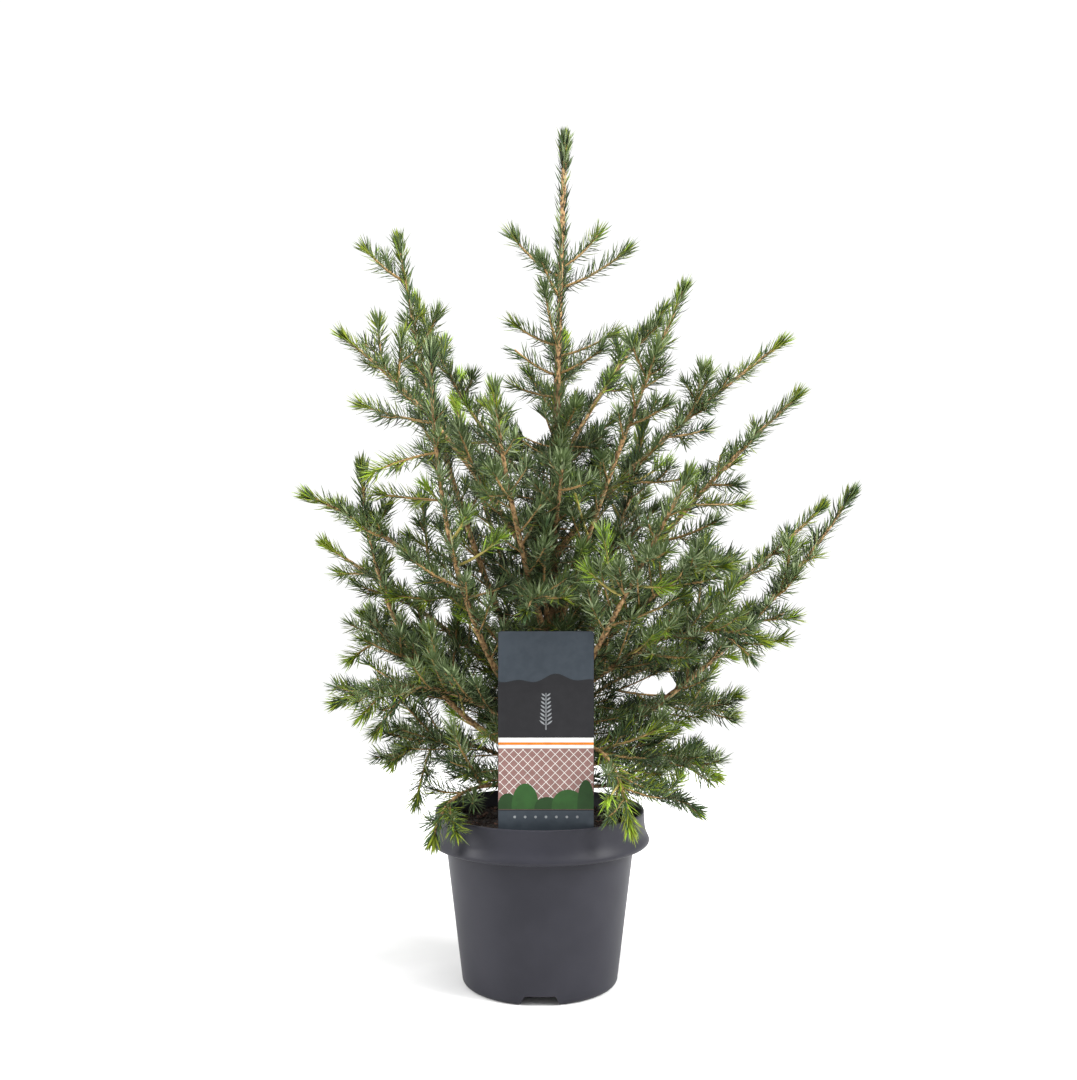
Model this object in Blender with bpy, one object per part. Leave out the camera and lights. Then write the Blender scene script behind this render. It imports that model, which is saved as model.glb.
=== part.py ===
# A young Serbian spruce in its nursery pot, in metres, +Z up.
# The origin is the middle of the pot's flat underside, and -Y is the front.

import math
import random

import bmesh
import bpy
from mathutils import Vector
from mathutils.kdtree import KDTree

# Clearance between pieces that touch
SEAT_GAP = 0.0003

# Pot: turned body, rolled lip, three drainage channels under the floor
POT_HEIGHT = 0.1500
POT_FOOT_RADIUS = 0.0670
POT_WAIST_RADIUS = 0.0803
POT_WAIST_HEIGHT = 0.1090
POT_FOOT_ROUNDING = 0.0055
POT_WALL = 0.0018
POT_STEPS = 32
LIP_RADIUS = 0.0951
LIP_WIDEST_HEIGHT = 0.1258
LIP_UNDERSIDE = 0.1212
LIP_MOUTH_RADIUS = 0.0885
CHANNEL_COUNT = 3
CHANNEL_HEIGHT = 0.0085
CHANNEL_TOP_WIDTH = 0.0250
CHANNEL_FOOT_WIDTH = 0.0380
CHANNEL_INNER_END = 0.0260
CHANNEL_CHAMFER = 0.0012
CHANNEL_FOOT_ROUNDING = 0.0030
CHANNEL_DEPTH_BELOW = -0.0100
CHANNEL_BEARING = -90.0

# Soil and the trunk that stands on it
SOIL_TOP = 0.1355
TRUNK_FOOT = (0.0030, 0.0000)
TRUNK_TIP = (0.0222, 0.0030)
TRUNK_TOP = 0.7450
TRUNK_SIDES = 8
FLARE_RADIUS = 0.0115
FLARE_HEIGHT = 0.0220
TRUNK_BASE_RADIUS = 0.0078
TRUNK_TIP_RADIUS = 0.0011

# Printed card on a spike
LABEL_CENTRE_X = 0.0048
LABEL_FRONT_Y = -0.0755
LABEL_WIDTH = 0.0783
LABEL_BOTTOM = SOIL_TOP + SEAT_GAP
LABEL_TOP = 0.3096
LABEL_THICKNESS = 0.0010
LABEL_CORNER = 0.0025
SPIKE_WIDTH = 0.0160
SPIKE_TIP_WIDTH = 0.0040
SPIKE_BOTTOM = 0.0980
SPIKE_TAPER = 0.0200

# Boughs and their shoots
LIMB_SIDES = 6
LIMB_RADIUS = 0.0029
LIMB_SHARE = 0.25
LIMB_STEP = 0.030
STEM_TIP_RADIUS = 0.0008
TWIG_RADIUS = 0.0012
NEEDLE_STEP = 0.0073
NEEDLE_TURN = math.radians(131.0)
POINT_STEP = 0.0120
BARE_SHARE = 0.24
NEEDLE_LENGTH = 0.0160
NEEDLE_LEAN = math.radians(47.0)
LATERAL_SPACING = 0.049
LATERAL_LONGEST = 0.070
LATERAL_SHORTEST = 0.022
LATERAL_START = 0.03
LATERAL_LAST_SHARE = 0.88
LATERAL_ANGLE = math.radians(52.0)
LATERAL_RISE = 0.16
GOLDEN_ANGLE = math.radians(137.5)
TWIG_CLEARANCE = 0.0070
NEEDLE_MARGIN = 0.0014

# Each bough: height of its root on the trunk, bearing of its tip from +X, how far out
# and how high the tip is, the share of that reach and the rise of its bend, and the
# seed of its side shoots.
# The first group is carried by bare limbs, and the second springs from the trunk.
LIMBED_BOUGHS = {
    "left_tall_front": (0.209, 213, 0.114, 0.542, 0.98, 0.106, 3),
    "left_tall_back": (0.231, 164, 0.139, 0.652, 0.67, 0.166, 49),
    "left_upper": (0.331, 185, 0.180, 0.559, 0.41, 0.148, 43),
    "left_upturned": (0.187, 187, 0.159, 0.445, 0.93, 0.063, 2),
    "left_outer": (0.244, 195, 0.207, 0.420, 0.51, 0.139, 66),
    "left_wide": (0.225, 160, 0.219, 0.379, 0.29, 0.066, 6),
    "front_left": (0.288, 242, 0.096, 0.505, 0.81, 0.128, 16),
    "front_right": (0.205, 309, 0.174, 0.433, 0.52, 0.119, 4),
    "right_long_front": (0.274, 332, 0.126, 0.590, 0.36, 0.148, 14),
    "right_upper": (0.366, 3, 0.203, 0.557, 0.33, 0.090, 1),
    "right_middle": (0.250, 347, 0.213, 0.503, 0.45, 0.146, 8),
    "right_wide": (0.181, 353, 0.261, 0.421, 0.62, 0.082, 58),
    "right_arching": (0.244, 18, 0.271, 0.414, 0.51, 0.053, 14),
    "back_left_tall": (0.270, 122, 0.170, 0.520, 0.60, 0.110, 14),
    "back_right_tall": (0.222, 58, 0.180, 0.500, 0.58, 0.105, 44),
    "back_middle": (0.200, 92, 0.205, 0.400, 0.60, 0.075, 11),
}
TRUNK_BOUGHS = {
    "left_high": (0.419, 147, 0.152, 0.606, 0.61, 0.058, 36),
    "right_high": (0.436, 22, 0.107, 0.591, 0.38, 0.084, 44),
    "back_high": (0.400, 84, 0.110, 0.575, 0.55, 0.075, 14),
    "left_low": (0.212, 171, 0.164, 0.315, 0.67, 0.046, 26),
    "left_lowest": (0.199, 200, 0.183, 0.250, 0.52, 0.088, 66),
    "left_drooping": (0.176, 167, 0.139, 0.185, 0.73, 0.054, 28),
    "left_rim": (0.164, 218, 0.116, 0.138, 0.91, 0.034, 69),
    "front_short": (0.300, 261, 0.122, 0.328, 0.21, 0.063, 39),
    "front_high": (0.378, 275, 0.090, 0.447, 0.60, 0.034, 53),
    "front_right_low": (0.181, 305, 0.118, 0.155, 0.79, 0.071, 49),
    "front_upright": (0.318, 27, 0.096, 0.490, 0.82, 0.043, 38),
    "right_inner": (0.231, 323, 0.175, 0.363, 0.68, 0.138, 46),
    "right_low": (0.218, 343, 0.186, 0.301, 0.51, 0.114, 50),
    "right_lower": (0.194, 26, 0.195, 0.220, 0.47, 0.064, 41),
    "right_drooping": (0.170, 353, 0.147, 0.182, 0.62, 0.049, 55),
    "right_rim": (0.160, 16, 0.144, 0.139, 0.63, 0.020, 31),
    "back_left_low": (0.190, 132, 0.190, 0.290, 0.60, 0.060, 44),
    "back_right_low": (0.214, 48, 0.195, 0.262, 0.60, 0.060, 7),
    "back_drooping": (0.168, 95, 0.170, 0.196, 0.65, 0.050, 15),
}

# Side shoots that stand out from their boughs: share along the bough, and the bearing,
# reach and rise of the shoot. A seeded rule grows the rest.
STANDING_SHOOTS = {
    "left_tall_back": [(0.93, 200, 0.036, 0.026)],
    "left_high": [(0.60, 314, 0.014, 0.016)],
    "left_tall_front": [
        (0.86, 162, 0.066, 0.017),
        (0.80, 193, 0.053, -0.017),
        (0.70, 162, 0.059, 0.006),
        (0.61, 303, 0.026, 0.020),
        (0.55, 337, 0.040, 0.023),
        (0.47, 344, 0.037, 0.011),
    ],
    "left_upper": [(0.83, 116, 0.016, 0.044)],
    "left_wide": [(0.85, 157, 0.031, -0.001)],
    "right_long_front": [(0.76, 294, 0.024, 0.032)],
    "right_upper": [(0.64, 317, 0.030, 0.041), (0.58, 29, 0.042, 0.008)],
    "right_middle": [
        (0.73, 52, 0.025, 0.011),
        (0.68, 317, 0.029, -0.001),
        (0.61, 15, 0.047, 0.001),
    ],
    "right_wide": [(0.71, 305, 0.024, 0.018), (0.63, 22, 0.041, 0.002)],
    "front_right": [(0.57, 201, 0.033, 0.023), (0.61, 336, 0.030, -0.001)],
    "left_low": [(0.83, 199, 0.031, -0.017)],
    "left_lowest": [(0.61, 162, 0.040, -0.039)],
    "left_drooping": [(0.61, 212, 0.019, -0.052)],
    "right_lower": [(0.80, 342, 0.038, 0.010)],
    "right_low": [(0.79, 26, 0.036, -0.023)],
}

# Twigs that ring the leader: height of the ring's foot and top, and for each twig its
# root height, bearing, reach and rise
LEADER_RINGS = {
    "leader_tip": (0.650, 0.7430, []),
    "leader_upper": (0.585, 0.6495, [
        (0.613, 172, 0.043, 0.038),
        (0.622, 14, 0.034, 0.031),
        (0.604, 356, 0.057, 0.031),
        (0.596, 238, 0.030, 0.026),
        (0.600, 84, 0.045, 0.030),
    ]),
    "leader_middle": (0.512, 0.5845, [
        (0.552, 236, 0.022, 0.048),
        (0.553, 176, 0.040, 0.020),
        (0.544, 4, 0.048, 0.020),
        (0.527, 190, 0.038, 0.022),
        (0.529, 344, 0.040, 0.020),
        (0.536, 95, 0.046, 0.026),
    ]),
    "leader_lower": (0.452, 0.5115, [
        (0.508, 174, 0.037, 0.010),
        (0.490, 66, 0.045, 0.020),
        (0.470, 290, 0.048, 0.026),
    ]),
}
RING_WALL = 0.0011
RING_SIDES = 5
RING_STEP = 0.0145
RING_TWIST = math.radians(24.0)


def clear_scene():
    for old in list(bpy.data.objects):
        bpy.data.objects.remove(old, do_unlink=True)


def new_material(name, color, roughness):
    material = bpy.data.materials.new(name)
    material.use_nodes = True
    shader = material.node_tree.nodes["Principled BSDF"]
    shader.inputs["Base Color"].default_value = (*color, 1.0)
    shader.inputs["Roughness"].default_value = roughness
    return material


def new_object(name, bm, material=None):
    """Make a bmesh into an object with its faces pointing out."""
    bmesh.ops.recalc_face_normals(bm, faces=bm.faces[:])
    mesh = bpy.data.meshes.new(name)
    bm.to_mesh(mesh)
    bm.free()
    piece = bpy.data.objects.new(name, mesh)
    bpy.context.scene.collection.objects.link(piece)
    if material is not None:
        mesh.materials.append(material)
    return piece


def apply_boolean(piece, operation, collection=None, other=None):
    """Join or cut a piece, keep the result as its mesh, and remove what joined or cut it."""
    cut = piece.modifiers.new(operation.title(), "BOOLEAN")
    cut.operation = operation
    cut.solver = "MANIFOLD"
    if collection is not None:
        cut.operand_type = "COLLECTION"
        cut.collection = collection
    else:
        cut.object = other
    depsgraph = bpy.context.evaluated_depsgraph_get()
    result = bpy.data.meshes.new_from_object(piece.evaluated_get(depsgraph))
    piece.modifiers.clear()
    piece.data = result
    if collection is not None:
        for used in list(collection.objects):
            bpy.data.objects.remove(used, do_unlink=True)
        bpy.data.collections.remove(collection)


def keep_largest_body(piece):
    """Drop loose scraps and fill sealed hollows by keeping only the largest shell."""
    bm = bmesh.new()
    bm.from_mesh(piece.data)
    unseen = set(bm.faces)
    shells = []
    while unseen:
        queue = [unseen.pop()]
        shell = []
        while queue:
            face = queue.pop()
            shell.append(face)
            for edge in face.edges:
                for neighbour in edge.link_faces:
                    if neighbour in unseen:
                        unseen.remove(neighbour)
                        queue.append(neighbour)
        shells.append(shell)
    shells.sort(key=len)
    for scrap in shells[:-1]:
        bmesh.ops.delete(bm, geom=scrap, context="FACES")
    bm.to_mesh(piece.data)
    bm.free()


# ---- Pot and soil

def ring_of(bm, radius, height):
    """One turned ring, or a single point on the axis."""
    if radius == 0.0:
        return [bm.verts.new((0.0, 0.0, height))]
    ring = []
    for step in range(POT_STEPS):
        angle = math.tau * step / POT_STEPS
        ring.append(bm.verts.new((radius * math.cos(angle), radius * math.sin(angle), height)))
    return ring


def turned(name, profile, material=None):
    """Turn a profile of (radius, height), from the axis round to the axis, into a solid."""
    bm = bmesh.new()
    rings = [ring_of(bm, radius, height) for radius, height in profile]
    for lower, upper in zip(rings, rings[1:]):
        for step in range(POT_STEPS):
            after = (step + 1) % POT_STEPS
            corners = [lower[step % len(lower)], lower[after % len(lower)],
                       upper[after % len(upper)], upper[step % len(upper)]]
            bm.faces.new(list(dict.fromkeys(corners)))
    return new_object(name, bm, material)


def body_radius(height):
    """Radius of the pot's tapering wall."""
    share = height / POT_WAIST_HEIGHT
    return POT_FOOT_RADIUS + (POT_WAIST_RADIUS - POT_FOOT_RADIUS) * share


def pot_outside():
    """Profile of the pot as a full block: flat foot, rounded corner, wall, flared lip."""
    profile = [(0.0, 0.0)]
    corner = body_radius(POT_FOOT_ROUNDING) - POT_FOOT_ROUNDING
    for angle in (0.0, 30.0, 60.0):
        swing = math.radians(angle)
        profile.append((corner + POT_FOOT_ROUNDING * math.sin(swing),
                        POT_FOOT_ROUNDING * (1.0 - math.cos(swing))))
    profile.append((body_radius(POT_FOOT_ROUNDING), POT_FOOT_ROUNDING))
    profile.append((body_radius(CHANNEL_HEIGHT), CHANNEL_HEIGHT))
    profile.append((body_radius(LIP_UNDERSIDE - 0.0010), LIP_UNDERSIDE - 0.0010))
    profile.append((LIP_RADIUS - 0.0030, LIP_UNDERSIDE))
    profile.append((LIP_RADIUS - 0.0006, LIP_UNDERSIDE + 0.0016))
    profile.append((LIP_RADIUS, LIP_WIDEST_HEIGHT))
    profile.append((LIP_RADIUS - 0.0012, LIP_WIDEST_HEIGHT + 0.0045))
    profile.append((LIP_RADIUS - 0.0040, LIP_WIDEST_HEIGHT + 0.0130))
    profile.append((LIP_RADIUS - 0.0046, POT_HEIGHT - 0.0008))
    profile.append((LIP_RADIUS - 0.0054, POT_HEIGHT))
    profile.append((0.0, POT_HEIGHT))
    return profile


def pot_inside(clearance, top):
    """Profile of the space in the pot, drawn in by a clearance, up to a height."""
    floor = POT_WALL + clearance
    wall = POT_WALL + clearance
    mouth = LIP_MOUTH_RADIUS - clearance
    shoulder_foot = LIP_UNDERSIDE + 0.0012
    shoulder_top = LIP_UNDERSIDE + 0.0060
    return [
        (0.0, floor),
        (body_radius(floor) - wall - 0.0030, floor),
        (body_radius(floor + 0.0030) - wall, floor + 0.0030),
        (body_radius(shoulder_foot) - wall, shoulder_foot),
        (mouth, shoulder_top),
        (mouth, top),
        (0.0, top),
    ]


def channel(name, bearing, grow):
    """A drainage channel under the floor: a bar with sloping sides from near the axis out."""
    top = CHANNEL_HEIGHT + grow
    half_top = CHANNEL_TOP_WIDTH / 2 + grow
    half_foot = CHANNEL_FOOT_WIDTH / 2 + grow
    right_side = [
        (half_top, top),
        (half_top + CHANNEL_CHAMFER, top - CHANNEL_CHAMFER),
        (half_foot, CHANNEL_CHAMFER),
        (half_foot + CHANNEL_FOOT_ROUNDING, CHANNEL_DEPTH_BELOW),
    ]
    section = [(-across, height) for across, height in reversed(right_side)] + right_side
    bm = bmesh.new()
    ends = []
    for along in (CHANNEL_INNER_END - grow, LIP_RADIUS):
        ends.append([bm.verts.new((along, across, height)) for across, height in section])
    bm.faces.new(ends[0])
    bm.faces.new(ends[1])
    for index in range(len(section)):
        after = (index + 1) % len(section)
        bm.faces.new([ends[0][index], ends[0][after], ends[1][after], ends[1][index]])
    bar = new_object(name, bm)
    bar.rotation_euler.z = math.radians(bearing)
    return bar


def gather(name, pieces):
    """Put pieces in a collection of their own."""
    collection = bpy.data.collections.new(name)
    bpy.context.scene.collection.children.link(collection)
    for piece in pieces:
        for holder in list(piece.users_collection):
            holder.objects.unlink(piece)
        collection.objects.link(piece)
    return collection


def channel_bearings():
    return [CHANNEL_BEARING + 360.0 * index / CHANNEL_COUNT for index in range(CHANNEL_COUNT)]


def pot_space(name, clearance, top):
    """The room inside the pot, less the ribs over the channels."""
    space = turned(name, pot_inside(clearance, top))
    ribs = [channel(f"rib_{index}", bearing, POT_WALL + clearance)
            for index, bearing in enumerate(channel_bearings())]
    apply_boolean(space, "DIFFERENCE", gather("ribs", ribs))
    return space


def make_pot(material):
    pot = turned("pot", pot_outside(), material)
    bars = [channel(f"channel_{index}", bearing, 0.0)
            for index, bearing in enumerate(channel_bearings())]
    apply_boolean(pot, "DIFFERENCE", gather("channels", bars))
    space = pot_space("pot_space", 0.0, POT_HEIGHT + 0.01)
    apply_boolean(pot, "DIFFERENCE", gather("space", [space]))
    pot.data.shade_smooth()
    pot.data.set_sharp_from_angle(angle=math.radians(35.0))
    return pot


def spike_outline(grow, top):
    """Outline of the label's spike in its own plane, from a height down to the point."""
    half = SPIKE_WIDTH / 2 + grow
    half_tip = SPIKE_TIP_WIDTH / 2 + grow
    return [
        (-half, top),
        (-half, SPIKE_BOTTOM + SPIKE_TAPER),
        (-half_tip, SPIKE_BOTTOM - grow),
        (half_tip, SPIKE_BOTTOM - grow),
        (half, SPIKE_BOTTOM + SPIKE_TAPER),
        (half, top),
    ]


def upright_plate(name, outline, front, thickness, material=None):
    """A plate in the XZ plane, given its outline and where its front face is."""
    bm = bmesh.new()
    sheets = []
    for y in (front, front + thickness):
        sheets.append([bm.verts.new((LABEL_CENTRE_X + x, y, z)) for x, z in outline])
    bm.faces.new(sheets[0])
    bm.faces.new(sheets[1])
    for index in range(len(outline)):
        after = (index + 1) % len(outline)
        bm.faces.new([sheets[0][index], sheets[0][after], sheets[1][after], sheets[1][index]])
    return new_object(name, bm, material)


def make_soil(material):
    soil = pot_space("soil", SEAT_GAP, SOIL_TOP)
    soil.data.materials.clear()
    soil.data.materials.append(material)
    outline = spike_outline(SEAT_GAP, SOIL_TOP + SPIKE_TAPER)
    slot = upright_plate("slot", outline, LABEL_FRONT_Y - SEAT_GAP, LABEL_THICKNESS + 2 * SEAT_GAP)
    apply_boolean(soil, "DIFFERENCE", gather("slots", [slot]))
    return soil


def make_label(material):
    """A card with rounded top corners on a spike, in one flat piece."""
    half = LABEL_WIDTH / 2
    outline = []
    for side, start in ((1, 0.0), (-1, 90.0)):
        for step in (0.0, 45.0, 90.0):
            angle = math.radians(start + step)
            outline.append((side * (half - LABEL_CORNER) + LABEL_CORNER * math.cos(angle),
                            LABEL_TOP - LABEL_CORNER + LABEL_CORNER * math.sin(angle)))
    outline.append((-half, LABEL_BOTTOM))
    outline += spike_outline(0.0, LABEL_BOTTOM)
    outline.append((half, LABEL_BOTTOM))
    return upright_plate("plant_label", outline, LABEL_FRONT_Y, LABEL_THICKNESS, material)


# ---- Stems

def trunk_axis(height):
    """Middle of the leaning trunk at a height, with a slight sway."""
    share = (height - SOIL_TOP) / (TRUNK_TOP - SOIL_TOP)
    sway = 0.0016 * math.sin(share * math.tau)
    return Vector((TRUNK_FOOT[0] + (TRUNK_TIP[0] - TRUNK_FOOT[0]) * share,
                   TRUNK_FOOT[1] + (TRUNK_TIP[1] - TRUNK_FOOT[1]) * share + sway, height))


def trunk_radius(height):
    """True taper to the tip, with a flare at the ground."""
    share = min((height - SOIL_TOP) / (TRUNK_TOP - SOIL_TOP), 1.0)
    radius = TRUNK_TIP_RADIUS + (TRUNK_BASE_RADIUS - TRUNK_TIP_RADIUS) * (1.0 - share) ** 1.25
    flare = max(0.0, 1.0 - (height - SOIL_TOP) / FLARE_HEIGHT)
    return radius + (FLARE_RADIUS - TRUNK_BASE_RADIUS) * flare ** 2


def carried_frames(points):
    """A direction and a side at each point, the side carried along without twisting."""
    directions = []
    for index in range(len(points)):
        before = points[max(index - 1, 0)]
        after = points[min(index + 1, len(points) - 1)]
        directions.append((after - before).normalized())
    side = directions[0].orthogonal().normalized()
    sides = []
    for direction in directions:
        side = (side - direction * side.dot(direction)).normalized()
        sides.append(side.copy())
    return directions, sides


class Stem:
    """A tapering stem along a row of points, with needles from some way up it."""

    def __init__(self, points, first_radius, last_radius, needles_from=0.0):
        self.points = points
        self.first_radius = first_radius
        self.last_radius = last_radius
        self.needles_from = needles_from
        self.directions, self.sides = carried_frames(points)
        self.reached = [0.0]
        for a, b in zip(points, points[1:]):
            self.reached.append(self.reached[-1] + (b - a).length)
        self.length = self.reached[-1]

    def radius(self, distance):
        return self.first_radius + (self.last_radius - self.first_radius) * distance / self.length

    def at(self, distance):
        """Point, direction and side at a distance along the stem."""
        index = 0
        while index < len(self.points) - 2 and self.reached[index + 1] < distance:
            index += 1
        share = (distance - self.reached[index]) / (self.reached[index + 1] - self.reached[index])
        point = self.points[index].lerp(self.points[index + 1], share)
        direction = self.directions[index].lerp(self.directions[index + 1], share).normalized()
        side = self.sides[index].lerp(self.sides[index + 1], share)
        side = (side - direction * side.dot(direction)).normalized()
        return point, direction, side


def ring_solid(name, points, radii, sides, twist=0.0, room=None):
    """A closed tube through rings, every other side face drawn out into a needle."""
    directions, across = carried_frames(points)
    bm = bmesh.new()
    rings = []
    for index, point in enumerate(points):
        other = directions[index].cross(across[index])
        ring = []
        for corner in range(sides):
            angle = math.tau * corner / sides + twist * index
            offset = across[index] * math.cos(angle) + other * math.sin(angle)
            ring.append(bm.verts.new(point + offset * radii[index]))
        rings.append(ring)
    for index in range(len(points) - 1):
        for corner in range(sides):
            after = (corner + 1) % sides
            corners = [rings[index][corner], rings[index][after],
                       rings[index + 1][after], rings[index + 1][corner]]
            tip = None
            if room is not None and (index + corner) % 2 == 0:
                tip = needle_tip(corners, points[index], points[index + 1], room)
            close_face(bm, corners, tip)
    bm.faces.new(rings[0])
    bm.faces.new(rings[-1])
    return new_object(name, bm)


def close_face(bm, corners, tip):
    """Fill a face flat, or draw it out to a tip."""
    if tip is None:
        bm.faces.new(corners)
        return
    point = bm.verts.new(tip)
    for first, second in zip(corners, corners[1:] + corners[:1]):
        bm.faces.new([first, second, point])


def shoot_solid(name, stem, room):
    """A three-sided core whose corners climb in a spiral, one needle out of each turn's face."""
    steps = [0.0, 0.0] + [NEEDLE_STEP * index for index in range(int(stem.length / NEEDLE_STEP))]
    steps.append(stem.length)
    bm = bmesh.new()
    corners = []
    for index, distance in enumerate(steps):
        point, direction, side = stem.at(distance)
        angle = NEEDLE_TURN * index if index > 2 else math.tau * index / 3 + NEEDLE_TURN
        offset = side * math.cos(angle) + direction.cross(side) * math.sin(angle)
        corners.append(bm.verts.new(point + offset * stem.radius(distance)))
    for index in range(len(steps) - 3):
        face = [corners[index], corners[index + 1], corners[index + 3]]
        tip = None
        if steps[index + 3] >= stem.needles_from:
            start = stem.at(steps[index])[0]
            end = stem.at(steps[index + 3])[0]
            tip = needle_tip(face, start, end, room)
        close_face(bm, face, tip)
        bm.faces.new([corners[index], corners[index + 3], corners[index + 2]])
    bm.faces.new(corners[:3])
    end, direction, _ = stem.at(stem.length)
    tip = end + direction * NEEDLE_LENGTH * 0.8
    close_face(bm, corners[-3:], tip if room.holds(tip) else None)
    return new_object(name, bm)


def needle_tip(corners, start, end, room):
    """Where a needle on this face ends: full length, or shorter where a neighbour is near."""
    along = (end - start).normalized()
    middle = sum((corner.co for corner in corners), Vector()) / len(corners)
    on_axis = start + along * (middle - start).dot(along)
    outward = (middle - on_axis).normalized()
    for share in (1.0, 0.85, 0.7, 0.55):
        length = NEEDLE_LENGTH * share
        reach = outward * math.sin(NEEDLE_LEAN) + along * math.cos(NEEDLE_LEAN)
        tip = middle + reach * length
        half_way = middle + reach * length * 0.5
        if room.holds(tip) and room.holds(half_way):
            return tip
    return None


def split_path(path, step):
    """Points a step apart along a curve given as a function from 0 to 1."""
    fine = [path(index / 60.0) for index in range(61)]
    length = sum((b - a).length for a, b in zip(fine, fine[1:]))
    count = max(2, round(length / step))
    return [path(index / count) for index in range(count + 1)], length


def bent_path(start, bend, end):
    """A curve that leaves its start towards the bend and comes to the end."""
    def path(share):
        rest = 1.0 - share
        return start * rest * rest + bend * 2.0 * rest * share + end * share * share
    return path


def bough_path(row):
    root_height, bearing, reach, tip_height, bend_share, bend_rise, _ = row
    root = trunk_axis(root_height)
    angle = math.radians(bearing)
    level = Vector((math.cos(angle), math.sin(angle), 0.0))
    bend = root + level * reach * bend_share + Vector((0.0, 0.0, bend_rise))
    tip = root + level * reach
    tip.z = tip_height
    return bent_path(root, bend, tip)


def cut_path(path, first, last):
    """The stretch of a curve between two shares of it."""
    return lambda share: path(first + (last - first) * share)


# ---- Room round the stems

def near_label(point, margin):
    half = LABEL_WIDTH / 2 + margin
    across = abs(point.x - LABEL_CENTRE_X) < half
    return across and point.y < LABEL_FRONT_Y + 0.006 + margin and point.z < LABEL_TOP + margin


def near_pot(point, margin):
    out = math.hypot(point.x, point.y)
    return point.z < POT_HEIGHT + margin and out < LIP_RADIUS + margin


def near_trunk(point, margin):
    if point.z > TRUNK_TOP + margin:
        return False
    axis = trunk_axis(max(point.z, SOIL_TOP))
    return (point - axis).length < trunk_radius(max(point.z, SOIL_TOP)) + margin


class Room:
    """The space that belongs to one piece: nearer to its own stems than to any other's."""

    def __init__(self, own_points, other_points):
        self.own = self.tree(own_points)
        self.other = self.tree(other_points)

    @staticmethod
    def tree(points):
        tree = KDTree(len(points))
        for index, point in enumerate(points):
            tree.insert(point, index)
        tree.balance()
        return tree

    def holds(self, point):
        if near_label(point, 0.001) or near_pot(point, 0.0015) or near_trunk(point, 0.0012):
            return False
        own_distance = self.own.find(point)[2]
        return own_distance + NEEDLE_MARGIN < self.other.find(point)[2]


def samples(points):
    """Points a few millimetres apart along a row of points."""
    spread = []
    for a, b in zip(points, points[1:]):
        count = max(1, round((b - a).length / 0.003))
        spread += [a.lerp(b, index / count) for index in range(count)]
    spread.append(points[-1])
    return spread


# ---- Growing the masses

def lateral_stem(path, share, length, roll):
    """A side shoot that leaves the curve forward and outward and turns up a little."""
    here = path(share)
    forward = (path(min(share + 0.02, 1.0)) - path(share - 0.02)).normalized()
    side = forward.cross(Vector((0.0, 0.0, 1.0)))
    side = side.normalized() if side.length > 0.1 else Vector((1.0, 0.0, 0.0))
    outward = side * math.cos(roll) + side.cross(forward) * math.sin(roll)
    heading = forward * math.cos(LATERAL_ANGLE) + outward * math.sin(LATERAL_ANGLE)
    end = here + heading * length + Vector((0.0, 0.0, LATERAL_RISE * length))
    points, _ = split_path(bent_path(here, here + heading * length * 0.5, end), POINT_STEP)
    return Stem(points, TWIG_RADIUS, STEM_TIP_RADIUS)


def is_free(stem, others, skip):
    """Whether a stem past its root keeps clear of other pieces, the pot and the label."""
    for point in samples(stem.points)[skip:]:
        if others.find(point)[2] < TWIG_CLEARANCE:
            return False
        if near_label(point, 0.005) or near_pot(point, 0.007) or near_trunk(point, 0.006):
            return False
    return True


def grow_laterals(name, seed, path, count, first_share, placed):
    """Side shoots by a seeded rule: a golden angle apart round the stem, shorter to its tip."""
    rng = random.Random(f"{name} {seed}")
    roll = rng.uniform(0.0, math.tau)
    others = Room.tree([point for owner, points in placed.items() if owner != name for point in points])
    grown = []
    for index in range(count):
        along = (index + rng.uniform(0.3, 0.7)) / count
        share = first_share + (LATERAL_LAST_SHARE - first_share) * along
        reach = LATERAL_SHORTEST + (LATERAL_LONGEST - LATERAL_SHORTEST) * (1.0 - along) ** 0.8
        reach *= rng.uniform(0.85, 1.12)
        roll += GOLDEN_ANGLE + rng.uniform(-0.3, 0.3)
        for turn in (0.0, 0.7, -0.7, 1.5, -1.5, 2.4):
            stem = lateral_stem(path, share, reach, roll + turn)
            if is_free(stem, others, 3):
                grown.append(stem)
                placed[name] += samples(stem.points)
                break
    return grown


def pointed_stem(root, bearing, reach, rise):
    """A shoot from a root towards a bearing, that turns up or down towards its tip."""
    angle = math.radians(bearing)
    level = Vector((math.cos(angle), math.sin(angle), 0.0))
    end = root + level * reach + Vector((0.0, 0.0, rise))
    bend = root + level * reach * 0.5 + Vector((0.0, 0.0, rise * 0.25))
    points, _ = split_path(bent_path(root, bend, end), POINT_STEP)
    return Stem(points, TWIG_RADIUS, STEM_TIP_RADIUS)


def grow_standing_shoots(name, path, rows, placed):
    """The side shoots that stand out from one bough."""
    others = Room.tree([point for owner, points in placed.items() if owner != name for point in points])
    grown = []
    for share, bearing, reach, rise in rows:
        stem = pointed_stem(path(share), bearing, reach, rise)
        if is_free(stem, others, 3):
            grown.append(stem)
            placed[name] += samples(stem.points)
    return grown


def fuse_mass(name, stems, room, trunk_sleeve, material, sleeve=None):
    """One closed solid from a mass's stems, cut clear of the trunk."""
    solids = []
    for index, stem in enumerate(stems):
        solids.append(shoot_solid(f"{name}_{index}", stem, room))
    mass = sleeve if sleeve is not None else solids.pop(0)
    if solids:
        apply_boolean(mass, "UNION", gather(f"{name}_shoots", solids))
    if trunk_sleeve is not None:
        apply_boolean(mass, "DIFFERENCE", other=trunk_sleeve)
    keep_largest_body(mass)
    mass.name = name
    mass.data.name = name
    mass.data.materials.clear()
    mass.data.materials.append(material)
    return mass


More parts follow.
